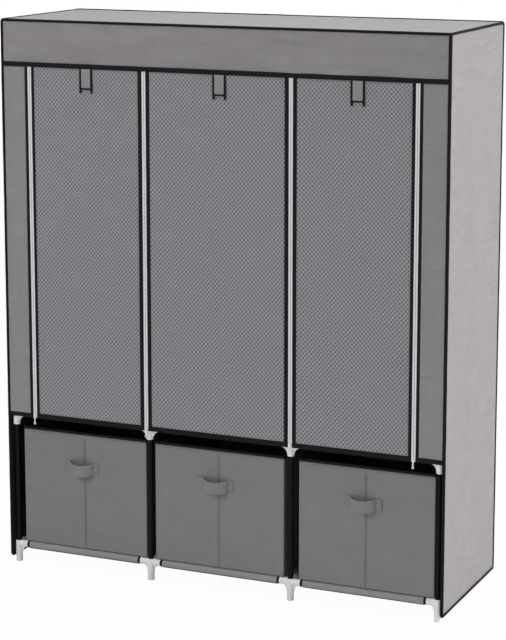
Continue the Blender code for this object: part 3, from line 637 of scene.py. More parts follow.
backShape = hangingShape(41.0, cover["backWave"])
low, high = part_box("cover_back")
across, up = (low[0] - high[0], 0, 0), (0, 0, high[2] - low[2])
coverBack = coverPanel("cover_back", (high[0], high[1], low[2]), across, up, "backStep", backShape)

low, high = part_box("cover_valance")
bottom = low[2] + cover["lap"]
across, up = (high[0] - low[0], 0, 0), (0, 0, high[2] - low[2] - cover["lap"])
valance = coverPanel("cover_valance", (low[0], clothFace, bottom), across, up, "frontStep", valanceShape)
bm = bmesh.new()
corners = (low[0], valanceHem["front"], low[2]), (high[0], valanceHem["back"], low[2] + valanceHem["height"])
addBar(bm, *corners, 0, valanceHem["edge"], 3, binding["cut"], valanceHem["wave"], 3.0)
hem = trimPiece("cover_valance_binding", bm, "cover_valance")

# Fixed strips beside the outer zips, with the zip's tape and its teeth
zipShape = {
    "tape": 0.0055,
    "gap": 0.00055,
    "end": 0.4165,
    "outerBinding": 0.0086,
    "innerBinding": 0.0112,
    "pitch": 0.0021,
    "toothShare": 0.42,
    "toothReach": 0.0024,
    "toothLap": -0.0003,
    "toothFront": 0.0003,
    "toothBack": 0.0004,
    "toothStart": 0.006,
    "toothEdge": 0.00025,
    "tapeEdge": 0.0002,
}


def zipHalf(bm, x, side, phase=0.0):
    # One tape beside the zip's middle at x, on the side where it lies, with its row of teeth
    near, far = sorted((x + side * zipShape["gap"], x + side * zipShape["tape"]))
    corners = (near, clothFace, zipShape["end"]), (far, clothFace + cover["cloth"], frontTop)
    addBar(bm, *corners, 2, zipShape["tapeEdge"], 1, 0.04)
    near, far = sorted((x - side * zipShape["toothLap"], x + side * zipShape["toothReach"]))
    front, back = clothFace - zipShape["toothFront"], clothFace + zipShape["toothBack"]
    start = zipShape["end"] + zipShape["toothStart"] + phase
    tall = zipShape["pitch"] * zipShape["toothShare"]
    tooth = bmesh.new()
    corners = (near, front, start), (far, back, start + tall)
    addBar(tooth, *corners, 0, zipShape["toothEdge"], 1, 1.0, material=1)
    piece = newObject("tooth", meshFrom(tooth))
    row = piece.modifiers.new("row", "ARRAY")
    row.count = int((frontTop - start - tall) / zipShape["pitch"])
    row.use_relative_offset = False
    row.use_constant_offset = True
    row.constant_offset_displace = (0, 0, zipShape["pitch"])
    bm.from_mesh(withModifiers(piece).data)
    bpy.data.objects.remove(piece, do_unlink=True)


stripHem = cover["stripHem"]
for side, name in ((-1, "left"), (1, "right")):
    node = f"cover_{name}_strip"
    zipX = side * zips[-1]
    inner = abs(zipX) + zipShape["tape"]
    bound = inner + zipShape["outerBinding"]
    left, right = sorted((side * (bound - cover["lap"]), side * cover["stripEdge"]))
    across, up = (right - left, 0, 0), (0, 0, frontTop - stripHem - cover["lap"])
    corner = (left, clothFace, stripHem + cover["lap"])
    strip = coverPanel(node, corner, across, up, "frontStep", stripShape(51.0 + side))
    bm = bmesh.new()
    near, far = sorted((side * inner, side * bound))
    addBinding(bm, near, far, stripHem, frontTop, 2, 5.0 + side)
    addBinding(bm, left, right, stripHem, stripHem + cover["stripHemHeight"], 0, 8.0, binding["proud"])
    stripBinding = trimPiece(f"{node}_binding", bm, node)
    bm = bmesh.new()
    zipHalf(bm, zipX, side, 0.0 if side < 0 else zipShape["pitch"] / 2)
    stripZip = trimPiece(f"{node}_zip", bm, node, [zipTape, zipTeeth], "grey_cloth")


def roundedPath(points, radius, steps):
    # Points of a closed path whose corners are arcs
    path = []
    for index, point in enumerate(points):
        corner = Vector(point)
        before = (Vector(points[index - 1]) - corner).normalized()
        after = (Vector(points[(index + 1) % len(points)]) - corner).normalized()
        centre = corner + (before + after) * radius
        for step in range(steps + 1):
            angle = math.radians(90 * step / steps)
            path.append(centre - after * radius * math.cos(angle) - before * radius * math.sin(angle))
    return path


def finePath(points, step=0.02):
    # More points between far ones, so that the cord can waver
    path = []
    for start, end in zip(points, points[1:]):
        count = max(1, round((end - start).length / step))
        path += [start.lerp(end, number / count) for number in range(count)]
    return path + [points[-1]]


def cordMesh(points, closed, radius, sides=4, shares=None):
    # A round cord along the points, whose radius can be a share of the whole at each
    curve = bpy.data.curves.new("cord", "CURVE")
    curve.dimensions = "3D"
    curve.bevel_depth = radius
    curve.bevel_resolution = sides
    curve.use_fill_caps = True
    spline = curve.splines.new("POLY")
    spline.points.add(len(points) - 1)
    spline.use_cyclic_u = closed
    for point, place, share in zip(spline.points, points, shares or [1.0] * len(points)):
        point.co = (*place, 1)
        point.radius = share
    helper = newObject("cord", curve)
    bpy.context.view_layer.update()
    bm = bmesh.new()
    evaluated = helper.evaluated_get(bpy.context.evaluated_depsgraph_get())
    bm.from_mesh(bpy.data.meshes.new_from_object(evaluated))
    bpy.data.objects.remove(helper, do_unlink=True)
    bmesh.ops.remove_doubles(bm, verts=bm.verts, dist=1e-6)
    bmesh.ops.recalc_face_normals(bm, faces=bm.faces)
    return meshFrom(bm)


# The piping is a loop round each side, then a cord along the front top, back top and back bottom edges
piping = {
    "x": 0.6225,
    "y": 0.2115,
    "low": 0.0188,
    "high": 1.4895,
    "radius": 0.0045,
    "corner": 0.0060,
    "waver": 0.0004,
    "topShare": 0.85,  # the cord is slimmer along the top's front and side edges
    "margin": 0.001,
}
pipingX, pipingY, pipingLow, pipingHigh = [piping[key] for key in ("x", "y", "low", "high")]
cords = []
for x in (-pipingX, pipingX):
    sideways = ((-pipingY, pipingLow), (-pipingY, pipingHigh), (pipingY, pipingHigh), (pipingY, pipingLow))
    path = roundedPath([(x, y, z) for y, z in sideways], piping["corner"], 6)
    cords.append((finePath(path + [path[0]])[:-1], True))
for y, z in ((-pipingY, pipingHigh), (pipingY, pipingHigh), (pipingY, pipingLow)):
    cords.append((finePath([Vector((-pipingX, y, z)), Vector((pipingX, y, z))]), False))
bm = bmesh.new()
for number, (path, closed) in enumerate(cords):
    shares = []
    for place in path:
        waver = [noise.noise(place / 0.05 + Vector((axis * 9.1, 0, number))) for axis in range(3)]
        place += Vector(waver) * piping["waver"]
        onTop = place.z > pipingHigh - piping["margin"]
        slim = onTop and place.y < pipingY - piping["corner"] - piping["margin"]
        shares.append(piping["topShare"] if slim else 1.0)
    bm.from_mesh(cordMesh(path, closed, piping["radius"], shares=shares))
trimPiece("cover_piping_cord", bm, "cover_piping", [pipingCloth], sharpAngle=60)
print("cover ready")

# Doors: pressed cloth with a binding and half a zip down each side, and a hem that slides up
door = {"step": 0.006, "hemLow": 0.4152, "hemHeight": 0.0133, "hemGap": 0.0003, "keep": 0.042}


def doorShape(seed):
    def shape(u, v, width, height):
        waves = ripple(u, v, seed, ((0.16, 0.42, 0.0034), (0.06, 0.13, 0.0010), (0.03, 0.04, 0.0003)))
        inward = min(0.0, waves - 0.0012)
        seams = pucker(u, v, width, height, seed, ("left", "right", "low"), 0.0006)
        return inward * edgeFade(u, v, width, height, 0.045) + min(0.0004, seams)

    return shape


bottom = door["hemLow"] + door["hemHeight"] + door["hemGap"]
for bay, name in enumerate(bays):
    left, right = zips[bay], zips[bay + 1]
    clothLeft = left + zipShape["tape"] + zipShape["outerBinding" if bay == 0 else "innerBinding"]
    clothRight = right - zipShape["tape"] - zipShape["outerBinding" if bay == 2 else "innerBinding"]
    corner = (clothLeft - cover["lap"], clothFace, bottom)
    across, up = (clothRight - clothLeft + 2 * cover["lap"], 0, 0), (0, 0, frontTop - bottom)
    shape = doorShape(61.0 + 3 * bay)
    size = across, up, door["step"]
    doorPiece = clothSheet(f"door_{name}_panel", corner, *size, shape, cover["cloth"], doorCloth)
    bm = bmesh.new()
    addBinding(bm, left + zipShape["tape"], clothLeft, bottom, frontTop, 2, 71.0 + bay)
    addBinding(bm, clothRight, right - zipShape["tape"], bottom, frontTop, 2, 75.0 + bay)
    doorBinding = placePiece(f"door_{name}_binding", meshFrom(bm), [blackBinding])
    bm = bmesh.new()
    zipHalf(bm, left, 1, zipShape["pitch"] / 2)
    zipHalf(bm, right, -1)
    doorZip = placePiece(f"door_{name}_zip", meshFrom(bm), [zipTape, zipTeeth])
    slots = {doorPiece: "door_cloth", doorBinding: "black_binding", doorZip: "grey_cloth"}
    for piece, slotName in slots.items():
        attach(piece, slotName, f"door_{name}_cloth")
        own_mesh(piece)
    low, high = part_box(f"door_{name}_hem")
    bm = bmesh.new()
    addBar(bm, low, high, 0, binding["edge"], 2, binding["cut"], binding["wave"], 81.0 + bay)
    hem = placePiece(f"door_{name}_hem_binding", meshFrom(bm), [blackBinding])
    attach(hem, "black_binding", f"door_{name}_hem", body=f"door_{name}")
print("doors ready")

# Tie straps that hang in front of the doors, each with a bound edge down both sides and a bar across
strap = {
    "edge": 0.0062,
    "tail": 0.0093,
    "bar": 0.0046,
    "cloth": 0.0009,
    "step": 0.004,
    "bow": 0.0003,
    "clothLap": 0.0008,
    "barLap": 0.0006,
    "barProud": 0.0002,
}
for name in bays:
    node = f"tie_strap_{name}"
    low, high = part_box(node)
    middleY = (low[1] + high[1]) / 2
    left, right = low[0] + strap["edge"] * 0.5, high[0] - strap["edge"] * 0.5
    notch = low[2] + strap["tail"]
    strapCloth = clothSheet(
        f"{node}_cloth",
        (left, middleY - strap["cloth"] / 2, notch + strap["bar"] - strap["clothLap"]),
        (right - left, 0, 0),
        (0, 0, high[2] - notch - strap["bar"] + strap["clothLap"]),
        strap["step"],
        lambda u, v, width, height: strap["bow"] * math.sin(math.pi * u / width),
        strap["cloth"],
        coverCloth,
    )
    bm = bmesh.new()
    for near, far in ((low[0], low[0] + strap["edge"]), (high[0] - strap["edge"], high[0])):
        addBar(bm, (near, low[1], low[2]), (far, high[1], high[2]), 2, 0.0005, 2, 0.006, 0.0002, low[0])
    barLow = (low[0] + strap["edge"] - strap["barLap"], low[1] - strap["barProud"], notch)
    barHigh = (high[0] - strap["edge"] + strap["barLap"], high[1], notch + strap["bar"])
    addBar(bm, barLow, barHigh, 0, 0.0004, 2, 0.01)
    strapEdges = placePiece(f"{node}_binding", meshFrom(bm), [blackBinding])
    attach(strapCloth, "grey_cloth", node, body=f"strap_{name}")
    attach(strapEdges, "black_binding", node, body=f"strap_{name}")
print("straps ready")

# Frame: moulded connectors, painted tubes and the brackets of the hanging rails
frameSizes = {
    "tube": 0.00775,
    "wall": 0.0007,
    "bore": 0.00805,
    "arm": 0.0091,
    "hub": 0.0093,
    "lip": 0.0005,
    "reach": 0.0295,
    "drop": 0.032,
    "web": 0.004,
    "baseWeb": (0.0215, 0.035),
    "teeWeb": (0.0294, 0.0300),
    "cornerWeb": (0.0250, 0.0285),
    "past": 0.004,
    "stub": 0.0004,
    "lowerSeat": -0.008,  # where a bore ends, measured from the connector's middle
    "upperSeat": -0.002,
    "armSeat": 0.012,
    "play": 0.0005,  # from the end of a bore to the end of the tube in it
    "lipEdge": 0.0005,
    "lipWidth": 0.004,
    "lipSlope": 0.0048,
    "rounding": 0.0012,
    "sides": 28,
}


def latheMesh(profile, axis, closed=False):
    # Turns a profile of (radius, along) points round the axis
    bm = bmesh.new()
    chain = [bm.verts.new((radius, 0, along)) for radius, along in profile]
    pairs = list(zip(chain, chain[1:])) + ([(chain[-1], chain[0])] if closed else [])
    bmesh.ops.spin(
        bm,
        geom=chain + [bm.edges.new(pair) for pair in pairs],
        axis=(0, 0, 1),
        cent=(0, 0, 0),
        angle=2 * math.pi,
        steps=frameSizes["sides"],
        use_merge=True,
    )
    bmesh.ops.remove_doubles(bm, verts=bm.verts, dist=1e-6)
    bmesh.ops.recalc_face_normals(bm, faces=bm.faces)
    turns = {"X": Matrix.Rotation(math.pi / 2, 4, "Y"), "Y": Matrix.Rotation(-math.pi / 2, 4, "X")}
    bmesh.ops.transform(bm, matrix=turns.get(axis, Matrix.Identity(4)), verts=bm.verts)
    return meshFrom(bm)


def rodMesh(axis, low, high, radius, rounding=0.0):
    if not rounding:
        return latheMesh([(0, low), (radius, low), (radius, high), (0, high)], axis)
    slope = rounding * 0.3
    profile = [(0, low), (radius - rounding, low), (radius - slope, low + slope), (radius, low + rounding)]
    profile += [(radius, high - rounding), (radius - slope, high - slope), (radius - rounding, high)]
    return latheMesh([*profile, (0, high)], axis)


def armMesh(heading, low, high):
    # An arm through the centre, with a lip round each open end
    radius, lip = frameSizes["arm"], frameSizes["arm"] + frameSizes["lip"]
    edge = frameSizes["lipEdge"]
    rim = [(lip - edge, 0), (lip, edge), (lip, frameSizes["lipWidth"]), (radius, frameSizes["lipSlope"])]
    start = [(out, low + along) for out, along in rim] if low < -frameSizes["stub"] else [(radius, low)]
    end = [(out, high - along) for out, along in reversed(rim)]
    return latheMesh([(0, low), *start, *end, (0, high)], heading)


def unionOf(solids, cuts):
    # Joins closed meshes into one and takes the cuts out of it
    body = newObject("body", solids[0])
    helpers = [body]
    for operation, mesh in [("UNION", mesh) for mesh in solids[1:]] + [("DIFFERENCE", mesh) for mesh in cuts]:
        modifier = body.modifiers.new(operation.lower(), "BOOLEAN")
        modifier.operation = operation
        modifier.solver = "EXACT"
        modifier.object = newObject("helper", mesh)
        helpers.append(modifier.object)
    bm = bmesh.new()
    bm.from_mesh(withModifiers(body).data)
    for helper in helpers:
        bpy.data.objects.remove(helper, do_unlink=True)
    bmesh.ops.remove_doubles(bm, verts=bm.verts, dist=1e-5)
    return meshFrom(bm)


def moveSwept(bm, swept, step):
    # Moves what an extrusion has just made
    moved = [item for item in swept["geom"] if isinstance(item, bmesh.types.BMVert)]
    bmesh.ops.translate(bm, verts=moved, vec=step)


def webMesh(heading, reach, drop):
    # The curved web from the underside of an arm down to the upright
    steps = 10
    bm = bmesh.new()
    outline = [(0, 0), (reach, 0)]
    for step in range(steps + 1):
        angle = math.radians(90 * step / steps)
        across = reach - (reach - frameSizes["hub"] + 0.0003) * math.sin(angle)
        outline.append((across, -drop + (drop - frameSizes["arm"] + 0.0002) * math.cos(angle)))
    outline.append((0, -drop))
    half = frameSizes["web"] / 2
    face = bm.faces.new([bm.verts.new((x, -half, z)) for x, z in outline])
    moveSwept(bm, bmesh.ops.extrude_face_region(bm, geom=[face]), (0, 2 * half, 0))
    bmesh.ops.recalc_face_normals(bm, faces=bm.faces)
    bmesh.ops.transform(bm, matrix=Matrix.Rotation(math.radians(heading), 4, "Z"), verts=bm.verts)
    return meshFrom(bm)


def connectorMesh(level, tee):
    sizes = frameSizes
    hub, bore, reach, drop, past = [sizes[key] for key in ("hub", "bore", "reach", "drop", "past")]
    web = sizes["baseWeb" if level == "base" else "teeWeb" if tee else "cornerWeb"]
    solids = [rodMesh("Z", -levels["base"] if level == "base" else -drop, hub, hub, sizes["rounding"])]
    cuts = []
    if level == "mid":
        cuts.append(rodMesh("Z", -drop - past, sizes["lowerSeat"], bore))
    if level != "top":
        cuts.append(rodMesh("Z", sizes["upperSeat"], hub + past, bore))
    solids += [webMesh(heading, *web) for heading in ((0, 90, 180) if tee else (0, 90))]
    solids += [armMesh("X", -reach if tee else -sizes["stub"], reach), armMesh("Y", -sizes["stub"], reach)]
    cuts += [rodMesh(axis, sizes["armSeat"], reach + past, bore) for axis in "XY"]
    if tee:
        cuts.append(rodMesh("X", -reach - past, -sizes["armSeat"], bore))
    return unionOf(solids, cuts)


def placedCopy(mesh, place, xSide=1, ySide=1):
    copy = mesh.copy()
    copy.transform(Matrix.Translation(place) @ Matrix.Diagonal((xSide, ySide, 1, 1)))
    if xSide * ySide < 0:
        copy.flip_normals()
    return copy


def tubeMesh(axis, start, end):
    # An open tube between two points on the axis
    start, end = Vector(start), Vector(end)
    length = (end - start).length
    outer, inner = frameSizes["tube"], frameSizes["tube"] - frameSizes["wall"]
    mesh = latheMesh([(outer, 0), (outer, length), (inner, length), (inner, 0)], axis, closed=True)
    mesh.transform(Matrix.Translation(start))
    return mesh


def joinedBuild(meshes):
    bm = bmesh.new()
    for mesh in meshes:
        bm.from_mesh(mesh)
    return bm


def tubePiece(name, tubes, *nodes):
    attach(placePiece(name, meshFrom(joinedBuild(tubes)), [blackTube]), "black_tube", *nodes)


def fourPieces(name, outerMesh, innerMesh, y, height, ySide, node):
    # A white moulding at each upright, the outer ones handed
    for number, x in enumerate(uprights, start=1):
        mesh = outerMesh if number in (1, 4) else innerMesh
        shape = placedCopy(mesh, (x, y, height), -1 if number == 4 else 1, ySide)
        attach(placePiece(f"{name}_{number}", shape, [whitePlastic]), "white_plastic", node)


def railsAlong(y, height, gap):
    ends = zip(uprights, uprights[1:])
    return [tubeMesh("X", (low + gap, y, height), (high - gap, y, height)) for low, high in ends]


railGap = frameSizes["armSeat"] + frameSizes["play"]
for level, height in levels.items():
    corner, tee = connectorMesh(level, False), connectorMesh(level, True)
    for row, side in (("front", -1), ("back", 1)):
        y = side * uprightDepth
        fourPieces(f"{level}_{row}_connector", corner, tee, y, height, -side, f"{level}_{row}_frame")
        tubePiece(f"{level}_{row}_rails", railsAlong(y, height, railGap), f"{level}_{row}_frame")
    reach = uprightDepth - railGap
    tubes = [tubeMesh("Y", (x, -reach, height), (x, reach, height)) for x in uprights]
    tubePiece(f"{level}_side_rails", tubes, f"{level}_back_frame")

lowest = frameSizes["upperSeat"] + frameSizes["play"]
middleEnd = levels["mid"] + frameSizes["lowerSeat"] - frameSizes["play"]
for row, side in (("front", -1), ("back", 1)):
    lowerNodes = [f"lower_upright_{row}_{number}" for number in range(1, 5)]
    for name, low, high, nodes in (
        ("lower", levels["base"] + lowest, middleEnd, lowerNodes),
        ("upper", levels["mid"] + lowest, levels["top"] - railGap, [f"top_{row}_frame"]),
    ):
        y = side * uprightDepth
        tubes = [tubeMesh("Z", (x, y, low), (x, y, high)) for x in uprights]
        tubePiece(f"{name}_{row}_uprights", tubes, *nodes)

hanging = {
    "drop": 0.046,
    "wall": 0.0020,
    "width": 0.022,
    "reach": 0.024,
    "cap": 0.008,
    "seat": 0.002,
    "stem": (0.008, 0.016),
    "stemEdge": 0.0015,
    "claspPlay": 0.0004,
    "rounding": 0.0008,
}
rails = railsAlong(0, levels["top"] - hanging["drop"], hanging["seat"] + frameSizes["play"])
tubePiece("hanging_rails", rails, *[f"hanging_rail_{name}" for name in bays])


def bracketMesh(oneWay):
    # A clasp round the side rail, a stem, and a socket for the rail of each bay beside it
    reach, past, bore = hanging["reach"], frameSizes["past"], frameSizes["bore"]
    x, y = hanging["stem"][0] / 2, hanging["stem"][1] / 2
    stem = bmesh.new()
    addBar(stem, (-x, -y, -hanging["drop"]), (x, y, 0), 2, hanging["stemEdge"], 2, 1.0)
    start = -hanging["cap"] if oneWay else -reach
    socket = rodMesh("X", start, reach, bore + hanging["wall"], hanging["rounding"])
    cuts = [rodMesh("X", hanging["seat"], reach + past, bore)]
    if not oneWay:
        cuts.append(rodMesh("X", -reach - past, -hanging["seat"], bore))
    for mesh in (socket, *cuts):
        mesh.transform(Matrix.Translation((0, 0, -hanging["drop"])))
    half, outer = hanging["width"] / 2, frameSizes["arm"] + hanging["claspPlay"]
    clasp = rodMesh("Y", -half, half, outer, hanging["rounding"])
    cuts.append(rodMesh("Y", -hanging["width"], hanging["width"], bore))
    return unionOf([clasp, meshFrom(stem), socket], cuts)


fourPieces("hanging_bracket", bracketMesh(True), bracketMesh(False), 0, levels["top"], 1, "top_back_frame")
print("frame ready")

# Shelves: cloth stretched between the front and back rails, with a sleeve round each
shelf = {
    "cloth": 0.0010,
    "bindingCloth": 0.0018,
    "binding": 0.0064,
    "turn": 320.0,
    "steps": 30,
    "margin": 0.0298,
    "gap": 0.0004,
    "hubClear": 0.0098,
    "armClear": 0.0050,
    "step": 0.012,
    "cells": 24,
    # A black cord under each sleeve, where it is sewn, whose black also paints the shade under the sleeve
    "shadowSeam": 0.0012,
    "shadowSeamReach": 0.0096,
    "shadowSeamTurn": 20,
    "bindingLap": 0.0005,
    "bindingProud": 0.6,  # how much of a binding's extra thickness lies outside the sleeve
}


def sleevePoints(side, height, thickness):
    # From the top of a rail round it, outwards and back under it
    extra = (thickness - shelf["cloth"]) / 2 * shelf["bindingProud"]
    radius = frameSizes["bore"] + shelf["cloth"] / 2 + extra
    points = []
    for step in range(shelf["steps"] + 1):
        angle = math.radians(90 + shelf["turn"] * step / shelf["steps"])
        y = side * uprightDepth - side * radius * math.cos(angle)
        points.append((y, height + radius * math.sin(angle)))
    return points


def stripCloth(strips, thickness):
    # Cloth along X from strips, each a profile of (y, z) points with its two ends, its UV in metres
    bm = bmesh.new()
    layer = bm.loops.layers.uv.new("UVMap")
    for points, start, end in strips:
        run = [0.0]
        for first, second in zip(points, points[1:]):
            run.append(run[-1] + math.dist(first, second))
        count = max(1, round((end - start) / shelf["step"]))
        places = [start + (end - start) * number / count for number in range(count + 1)]
        rows = [[bm.verts.new((x, y, z)) for y, z in points] for x in places]
        for row in range(count):
            for index in range(len(points) - 1):
                corners = ((row, index), (row, index + 1), (row + 1, index + 1), (row + 1, index))
                face = bm.faces.new([rows[line][spot] for line, spot in corners])
                for loop, (line, spot) in zip(face.loops, corners):
                    loop[layer].uv = (places[line], run[spot])
    bmesh.ops.remove_doubles(bm, verts=bm.verts, dist=1e-5)
    helper = thicken(placePiece("shelfShape", meshFrom(bm), []), thickness, 0.0)
    mesh = helper.data
    bpy.data.objects.remove(helper, do_unlink=True)
    return mesh


def sleeveEnds(height, left, right, reach):
    # The bindings at the ends of both sleeves, which reach the web above, and a black cord under each sleeve,
    # partly where it is sewn and partly painted shade under the sleeve
    thickness = shelf["bindingCloth"]
    front, back = sleevePoints(-1, height, thickness)[::-1], sleevePoints(1, height, thickness)
    parts = []
    for low, high in ((left, left + shelf["binding"]), (right - shelf["binding"], right)):
        parts.append(stripCloth([(front + [(-reach, front[-1][1])], low, high)], thickness))
        parts.append(stripCloth([([(reach, back[0][1])] + back, low, high)], thickness))
    # The cord's black is partly painted shade under the sleeve
    turn = math.radians(shelf["shadowSeamTurn"])
    z = height - shelf["shadowSeamReach"] * math.cos(turn)
    for side in (-1, 1):
        y = side * (uprightDepth + shelf["shadowSeamReach"] * math.sin(turn))
        ends = [Vector((left + shelf["binding"], y, z)), Vector((right - shelf["binding"], y, z))]
        parts.append(cordMesh(finePath(ends), False, shelf["shadowSeam"], 2))
    return joinedBuild(parts)


# The middle shelves take the near-black cloth, which is painted shade
for level, cloth in (("base", shelfCloth), ("mid", paintedShadeCloth)):
    for bay, name in enumerate(bays):
        node = f"{level}_shelf_{name}"
        start, end = uprights[bay], uprights[bay + 1]
        left, right = start + shelf["margin"], end - shelf["margin"]
        front, back = [sleevePoints(side, levels[level], shelf["cloth"]) for side in (-1, 1)]
        reach, top = uprightDepth - shelf["margin"], back[0][1]
        web = [(reach * (2 * number / shelf["cells"] - 1), top) for number in range(shelf["cells"] + 1)]
        # Beside each connector the cloth reaches nearly to the arm that lies along the rail
        wide = [(shelf["armClear"] - uprightDepth, top)] + web + [(uprightDepth - shelf["armClear"], top)]
        inner = shelf["binding"] - shelf["bindingLap"]
        gap, clear = shelf["gap"], shelf["hubClear"]
        strips = (
            (web, start + gap, start + clear),
            (wide, start + clear, left + inner),
            (front[::-1] + wide + back, left + inner, right - inner),
            (wide, right - inner, end - clear),
            (web, end - clear, end - gap),
        )
        shelfPiece = placePiece(f"{node}_cloth", stripCloth(strips, shelf["cloth"]), [cloth], 60)
        attach(shelfPiece, "dark_cloth", node)
        ends = sleeveEnds(levels[level], left, right, reach)
        shelfBinding = trimPiece(f"{node}_binding", ends, node, sharpAngle=50)
        profile = front[::-1] + back
        girth = sum(math.dist(first, second) for first, second in zip(profile, profile[1:]))
        width = end - start - 2 * gap
        # The cut is notched at the four connectors, where only the web reaches the side rails
        area = width * girth - 2 * (shelf["margin"] + inner - gap) * (girth - 2 * reach)
        area += 4 * (shelf["margin"] + inner - clear) * (shelf["margin"] - shelf["armClear"])
print("shelves ready")

# Storage boxes: cloth over board, with a crease down the front, a bound rim and a loop handle
box = {
    "wall": 0.003,
    "cut": 0.0085,
    # Height of the band of painted shadow along each box's bottom edge
    "foot": 0.0035,
    # How much painted shade the box sides get
    "sideShade": 0.7,
    "edge": 0.0020,
    "waveIn": -0.0022,
    "waveOut": 0.0011,
    "backIn": -0.0006,
    "fade": 0.03,
    "lowWaves": 0.12,
    "crease": 0.0009,
    "creaseWidth": 0.0016,
    "creaseTop": 0.006,
    "creaseFade": 0.01,
    "grooveWidth": 0.0012,
    # Width of the painted shade along the crease
    "shadeWidth": 0.0014,
    "valley": 0.0004,
    "valleyWidth": 0.02,
    "rimProud": 0.0008,
    "rimEdge": 0.0012,
    "rimLap": 0.0003,
    "rimStep": 0.0002,
}
handle = {
    "level": 0.228,
    "span": 0.104,
    "sewn": 0.010,
    "height": 0.032,
    "loop": 0.070,
    "bulge": 0.023,
    "fullness": 0.6,
    "offset": -0.008,
    "droop": 0.006,
    "curl": 0.0022,
    "lift": 0.0012,
    "clear": 0.0003,
    "cloth": 0.0016,
    "steps": 24,
    "rows": 8,
}


def sliced(bm, low, high, step, extra):
    # Cuts a shape across all three axes, so that its faces can be shaped, with extra cuts on each axis
    for axis in range(3):
        count = max(1, round((high[axis] - low[axis]) / step))
        places = [low[axis] + (high[axis] - low[axis]) * number / count for number in range(1, count)]
        normal = Matrix.Identity(3)[axis].copy()
        for place in places + extra.get(axis, []):
            geom = list(bm.verts) + list(bm.edges) + list(bm.faces)
            bmesh.ops.bisect_plane(bm, geom=geom, dist=1e-6, plane_co=normal * place, plane_no=normal)


def boxUv(normal, place):
    if abs(normal.z) > 0.7:
        return (place.x, place.y)
    if abs(normal.y) > 0.7:
        return (place.x, place.z)
    return (place.y + 1.0, place.z)


def boxBody(name, low, high, seed):
    low, high = Vector(low), Vector(high)
    bm = bmesh.new()
    addBlock(bm, low, high)
    bmesh.ops.delete(bm, geom=[face for face in bm.faces if face.normal.z > 0.5], context="FACES")
    bevelEdges(bm, [edge for edge in bm.edges if not edge.is_boundary], box["edge"], 3)
    middle = (low.x + high.x) / 2
    beside = [middle + box["creaseWidth"] * share for share in (-1, -0.5, 0.5, 1)]
    sliced(bm, low, high, box["cut"], {0: beside, 2: [low.z + box["foot"], low.z + 2 * box["foot"]]})
    size = high - low
    # Painted shade kept on each corner point: a band along the bottom edge, a line down the front crease, and
    # darker sides
    paintedShade = bm.verts.layers.float.new("paintedShade")
    layer = bm.loops.layers.uv.new("UVMap")
    for face in bm.faces:
        mapFaces([face], layer, lambda place: boxUv(face.normal, place - low))
    for vert in bm.verts:
        place = vert.co - low
        insetX, insetY = min(place.x, size.x - place.x), min(place.y, size.y - place.y)
        reach = smoothStep(min(place.z, size.z - place.z) / box["fade"])
        # Painted shadow along the bottom edge, where the box stands on the sleeve
        vert[paintedShade] = 1.0 if place.z < box["foot"] - 1e-4 else 0.0
        if insetY < 1e-4:
            # Front and back: soft waves, and a crease down the middle of the front with painted shade along
            # it
            away = smoothStep(insetX / box["fade"]) * reach
            waves = ripple(place.x, place.z, seed, ((0.10, 0.20, 0.0018), (0.045, 0.06, 0.0008)))
            lowWaves = ripple(place.x, place.z, seed + 2, ((0.10, 0.022, 0.0012),))
            move = away * (waves + lowWaves * (1 - smoothStep(place.z / box["lowWaves"])))
            if place.y < 1e-4:
                centre = abs(place.x - size.x / 2)
                groove = math.exp(-((centre / box["grooveWidth"]) ** 2)) * box["crease"]
                valley = math.exp(-((centre / box["valleyWidth"]) ** 2)) * box["valley"]
                above = size.z - place.z - box["creaseTop"]
                ends = smoothStep(place.z / box["creaseFade"]) * smoothStep(above / box["creaseFade"])
                move -= (groove + valley) * ends
                # A dark line of painted shade down the crease
                vert[paintedShade] = max(vert[paintedShade], math.exp(-((centre / box["shadeWidth"]) ** 2)) * ends)
                vert.co.y -= max(box["waveIn"], min(box["waveOut"], move))
            else:
                vert.co.y += max(box["backIn"], min(box["waveOut"], move))
        elif insetX < 1e-4:
            away = smoothStep(insetY / box["fade"]) * reach
            move = away * ripple(place.y, place.z, seed + 4, ((0.12, 0.20, 0.0016), (0.045, 0.06, 0.0005)))
            move = max(box["backIn"], min(box["waveOut"], move))
            vert.co.x += move if place.x > size.x / 2 else -move
            # The sides get painted shade
            vert[paintedShade] = max(vert[paintedShade], box["sideShade"])
    return thicken(placePiece(name, meshFrom(bm), [boxCloth], 60), box["wall"], -1.0)


def rimBuild(low, high, seed):
    # A bar along each side of the box, lapped at the corners
    bm = bmesh.new()
    thick = box["wall"] + 2 * box["rimProud"]
    bars = (
        (0, low[0], low[1], high[0], low[1] + thick),
        (0, low[0], high[1] - thick, high[0], high[1]),
        (1, low[0], low[1], low[0] + thick, high[1]),
        (1, high[0] - thick, low[1], high[0], high[1]),
    )
    for number, (along, left, front, right, back) in enumerate(bars):
        start, end = (left, front, low[2] - box["rimLap"]), (right, back, high[2] + box["rimStep"] * along)
        addBar(bm, start, end, along, box["rimEdge"], 3, binding["cut"], binding["wave"], number + seed)
    return bm


def handlePath(x, near):
    # From above: sewn flat at both ends, with a loop that bulges out between them
    half = handle["span"] / 2
    points = [(x - half, near), (x - half + handle["sewn"], near)]
    for step in range(handle["steps"] + 1):
        share = step / handle["steps"]
        bulge = math.sin(math.pi * share) ** handle["fullness"] * handle["bulge"]
        points.append((x + handle["loop"] * (share - 0.5), near - bulge))
    return points + [(x + half - handle["sewn"], near), (x + half, near)]


